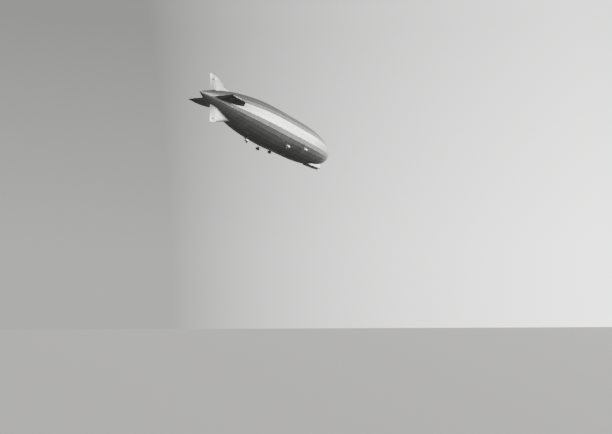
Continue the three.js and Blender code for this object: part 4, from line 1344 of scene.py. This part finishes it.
def makeBlade():
    radius, count = propellerForm["radius"], propellerForm["sections"]
    rows = []
    for i in range(count + 1):
        share = i / count
        chord = 0.009 + 0.008 * sin(pi * min(1, share * 0.9 + 0.12))
        thick = 0.009 + (0.0025 - 0.009) * share
        if i == count:
            chord, thick = chord * 0.55, thick * 0.6
        rows.append((share * radius, thick, chord))
    z, thick, chord = rows[0]
    turns = [2 * pi * k / 16 for k in range(16)]
    points = [(thick * cos(turn), chord * sin(turn), z) for turn in turns]
    steps = []
    for (z0, t0, c0), (z1, t1, c1) in zip(rows, rows[1:]):
        steps.append(((0, 0, z1 - z0), (t1 / t0, c1 / c0, 1), (0, 0, z1)))
    blade = drawOut(points, steps)
    addModifier(blade, "SIMPLE_DEFORM", deform_method="TWIST", deform_axis="Z",
                angle=propellerForm["rootPitch"] - propellerForm["tipPitch"])
    blade.rotation_euler = (0, 0, -propellerForm["rootPitch"])
    applyPlace(blade)
    smoothByAngle(blade, 40)
    return blade


def makePropeller():
    plane = propellerForm["plane"]
    blade = makeBlade()
    sheath = copyOf(blade)
    startEdit(sheath, "SELECT")
    bpy.ops.mesh.bisect(plane_co=(0, 0, 0.128), plane_no=(0, 0, 1), use_fill=False, clear_inner=True)
    selectAll()
    bpy.ops.transform.shrink_fatten(value=0.0004)
    endEdit()
    blades, sheaths = [], []
    for turn in (0, pi):
        blades.append(place(copyOf(blade), (plane, 0, 0), turnX=turn))
        sheaths.append(place(copyOf(sheath), (plane, 0, 0), turnX=turn))
    discard(blade, sheath)
    rings = [(-0.036, 0.002), (-0.0355, 0.0045), (-0.033, 0.009), (-0.027, 0.0145), (-0.019, 0.0195),
             (-0.012, 0.0215), (-0.0115, 0.022), (0.02, 0.022), (0.0204, 0.0215), (0.0206, 0.0089)]
    rings = [(plane + x, r) for x, r in rings] + [(-0.0503, 0.0089)]
    hub = tubeAlongX(roundRings(rings), 28)
    smoothByAngle(hub, 35)
    metal = [hub] + sheaths
    for k in range(8):
        angle = 2 * pi * (k + 0.5) / 8
        y, z = 0.0165 * cos(angle), 0.0165 * sin(angle)
        metal.append(addBar((plane - 0.02, y, z), (plane - 0.0145, y, z), 0.002, 6))
    return joinAll(blades), joinAll(metal)


def makeEngineCars():
    blades, metal = makePropeller()
    engine, radiator = makeEngineBlock(), makeRadiator()
    for name, station, y, z in engineCarForm["cars"]:
        side = atan2(-y, -z)
        for piece, kind, ending, material, slot in (
                (makeEngineCarShell(side), "engine_car_", "_plated", "carMetal", "car_metal"),
                (engineCarTrim(), "engine_car_", "_trim", "trimMetal", "car_metal"),
                (makeStruts(station, y, z, side), "struts_", "_braced", "strutPaint", "strut_paint"),
                (makeLadder(station, y, z, side), "ladder_", "_round", "strutPaint", "strut_paint"),
                (copyOf(blades), "propeller_", "_blades", "bladeWood", "blade_wood"),
                (copyOf(metal), "propeller_", "_hub", "bareMetal", "bare_metal"),
                (copyOf(engine), "engine_", "_cylinders", "engineIron", "engine_iron"),
                (copyOf(radiator), "radiator_", "_shutters", "radiatorCore", "radiator_brass")):
            node = kind + name
            body = node if kind == "propeller_" else "hull"
            nodes = [] if ending in ("_trim", "_hub") else [node]  # these two show with another piece
            settle(place(piece, (along(station), y, z)), node + ending, material, body, nodes)
    discard(blades, metal, engine, radiator)
    name, station, y, z = engineCarForm["cars"][-1]
    around = tubeAlongX(engineCarRings(0.0003, bands=False), engineCarForm["sides"])
    place(around, (along(station), y, z))
    middle = (along(7.325), 0, -1.86)
    makeBag("aft_bumper_bag", "aft_bumper", 0.18, 0.062, middle, -1.916, around)


makeEngineCars()
print("engine cars")

# The parts that keep the CAD's own form take better finishes
for node, material in (("car_glazing", "glass"), ("car_deck", "deckWood"), ("control_room_deck", "deckWood")):
    kept = bpy.data.objects[node]
    kept.material_slots[0].material = finish[material]
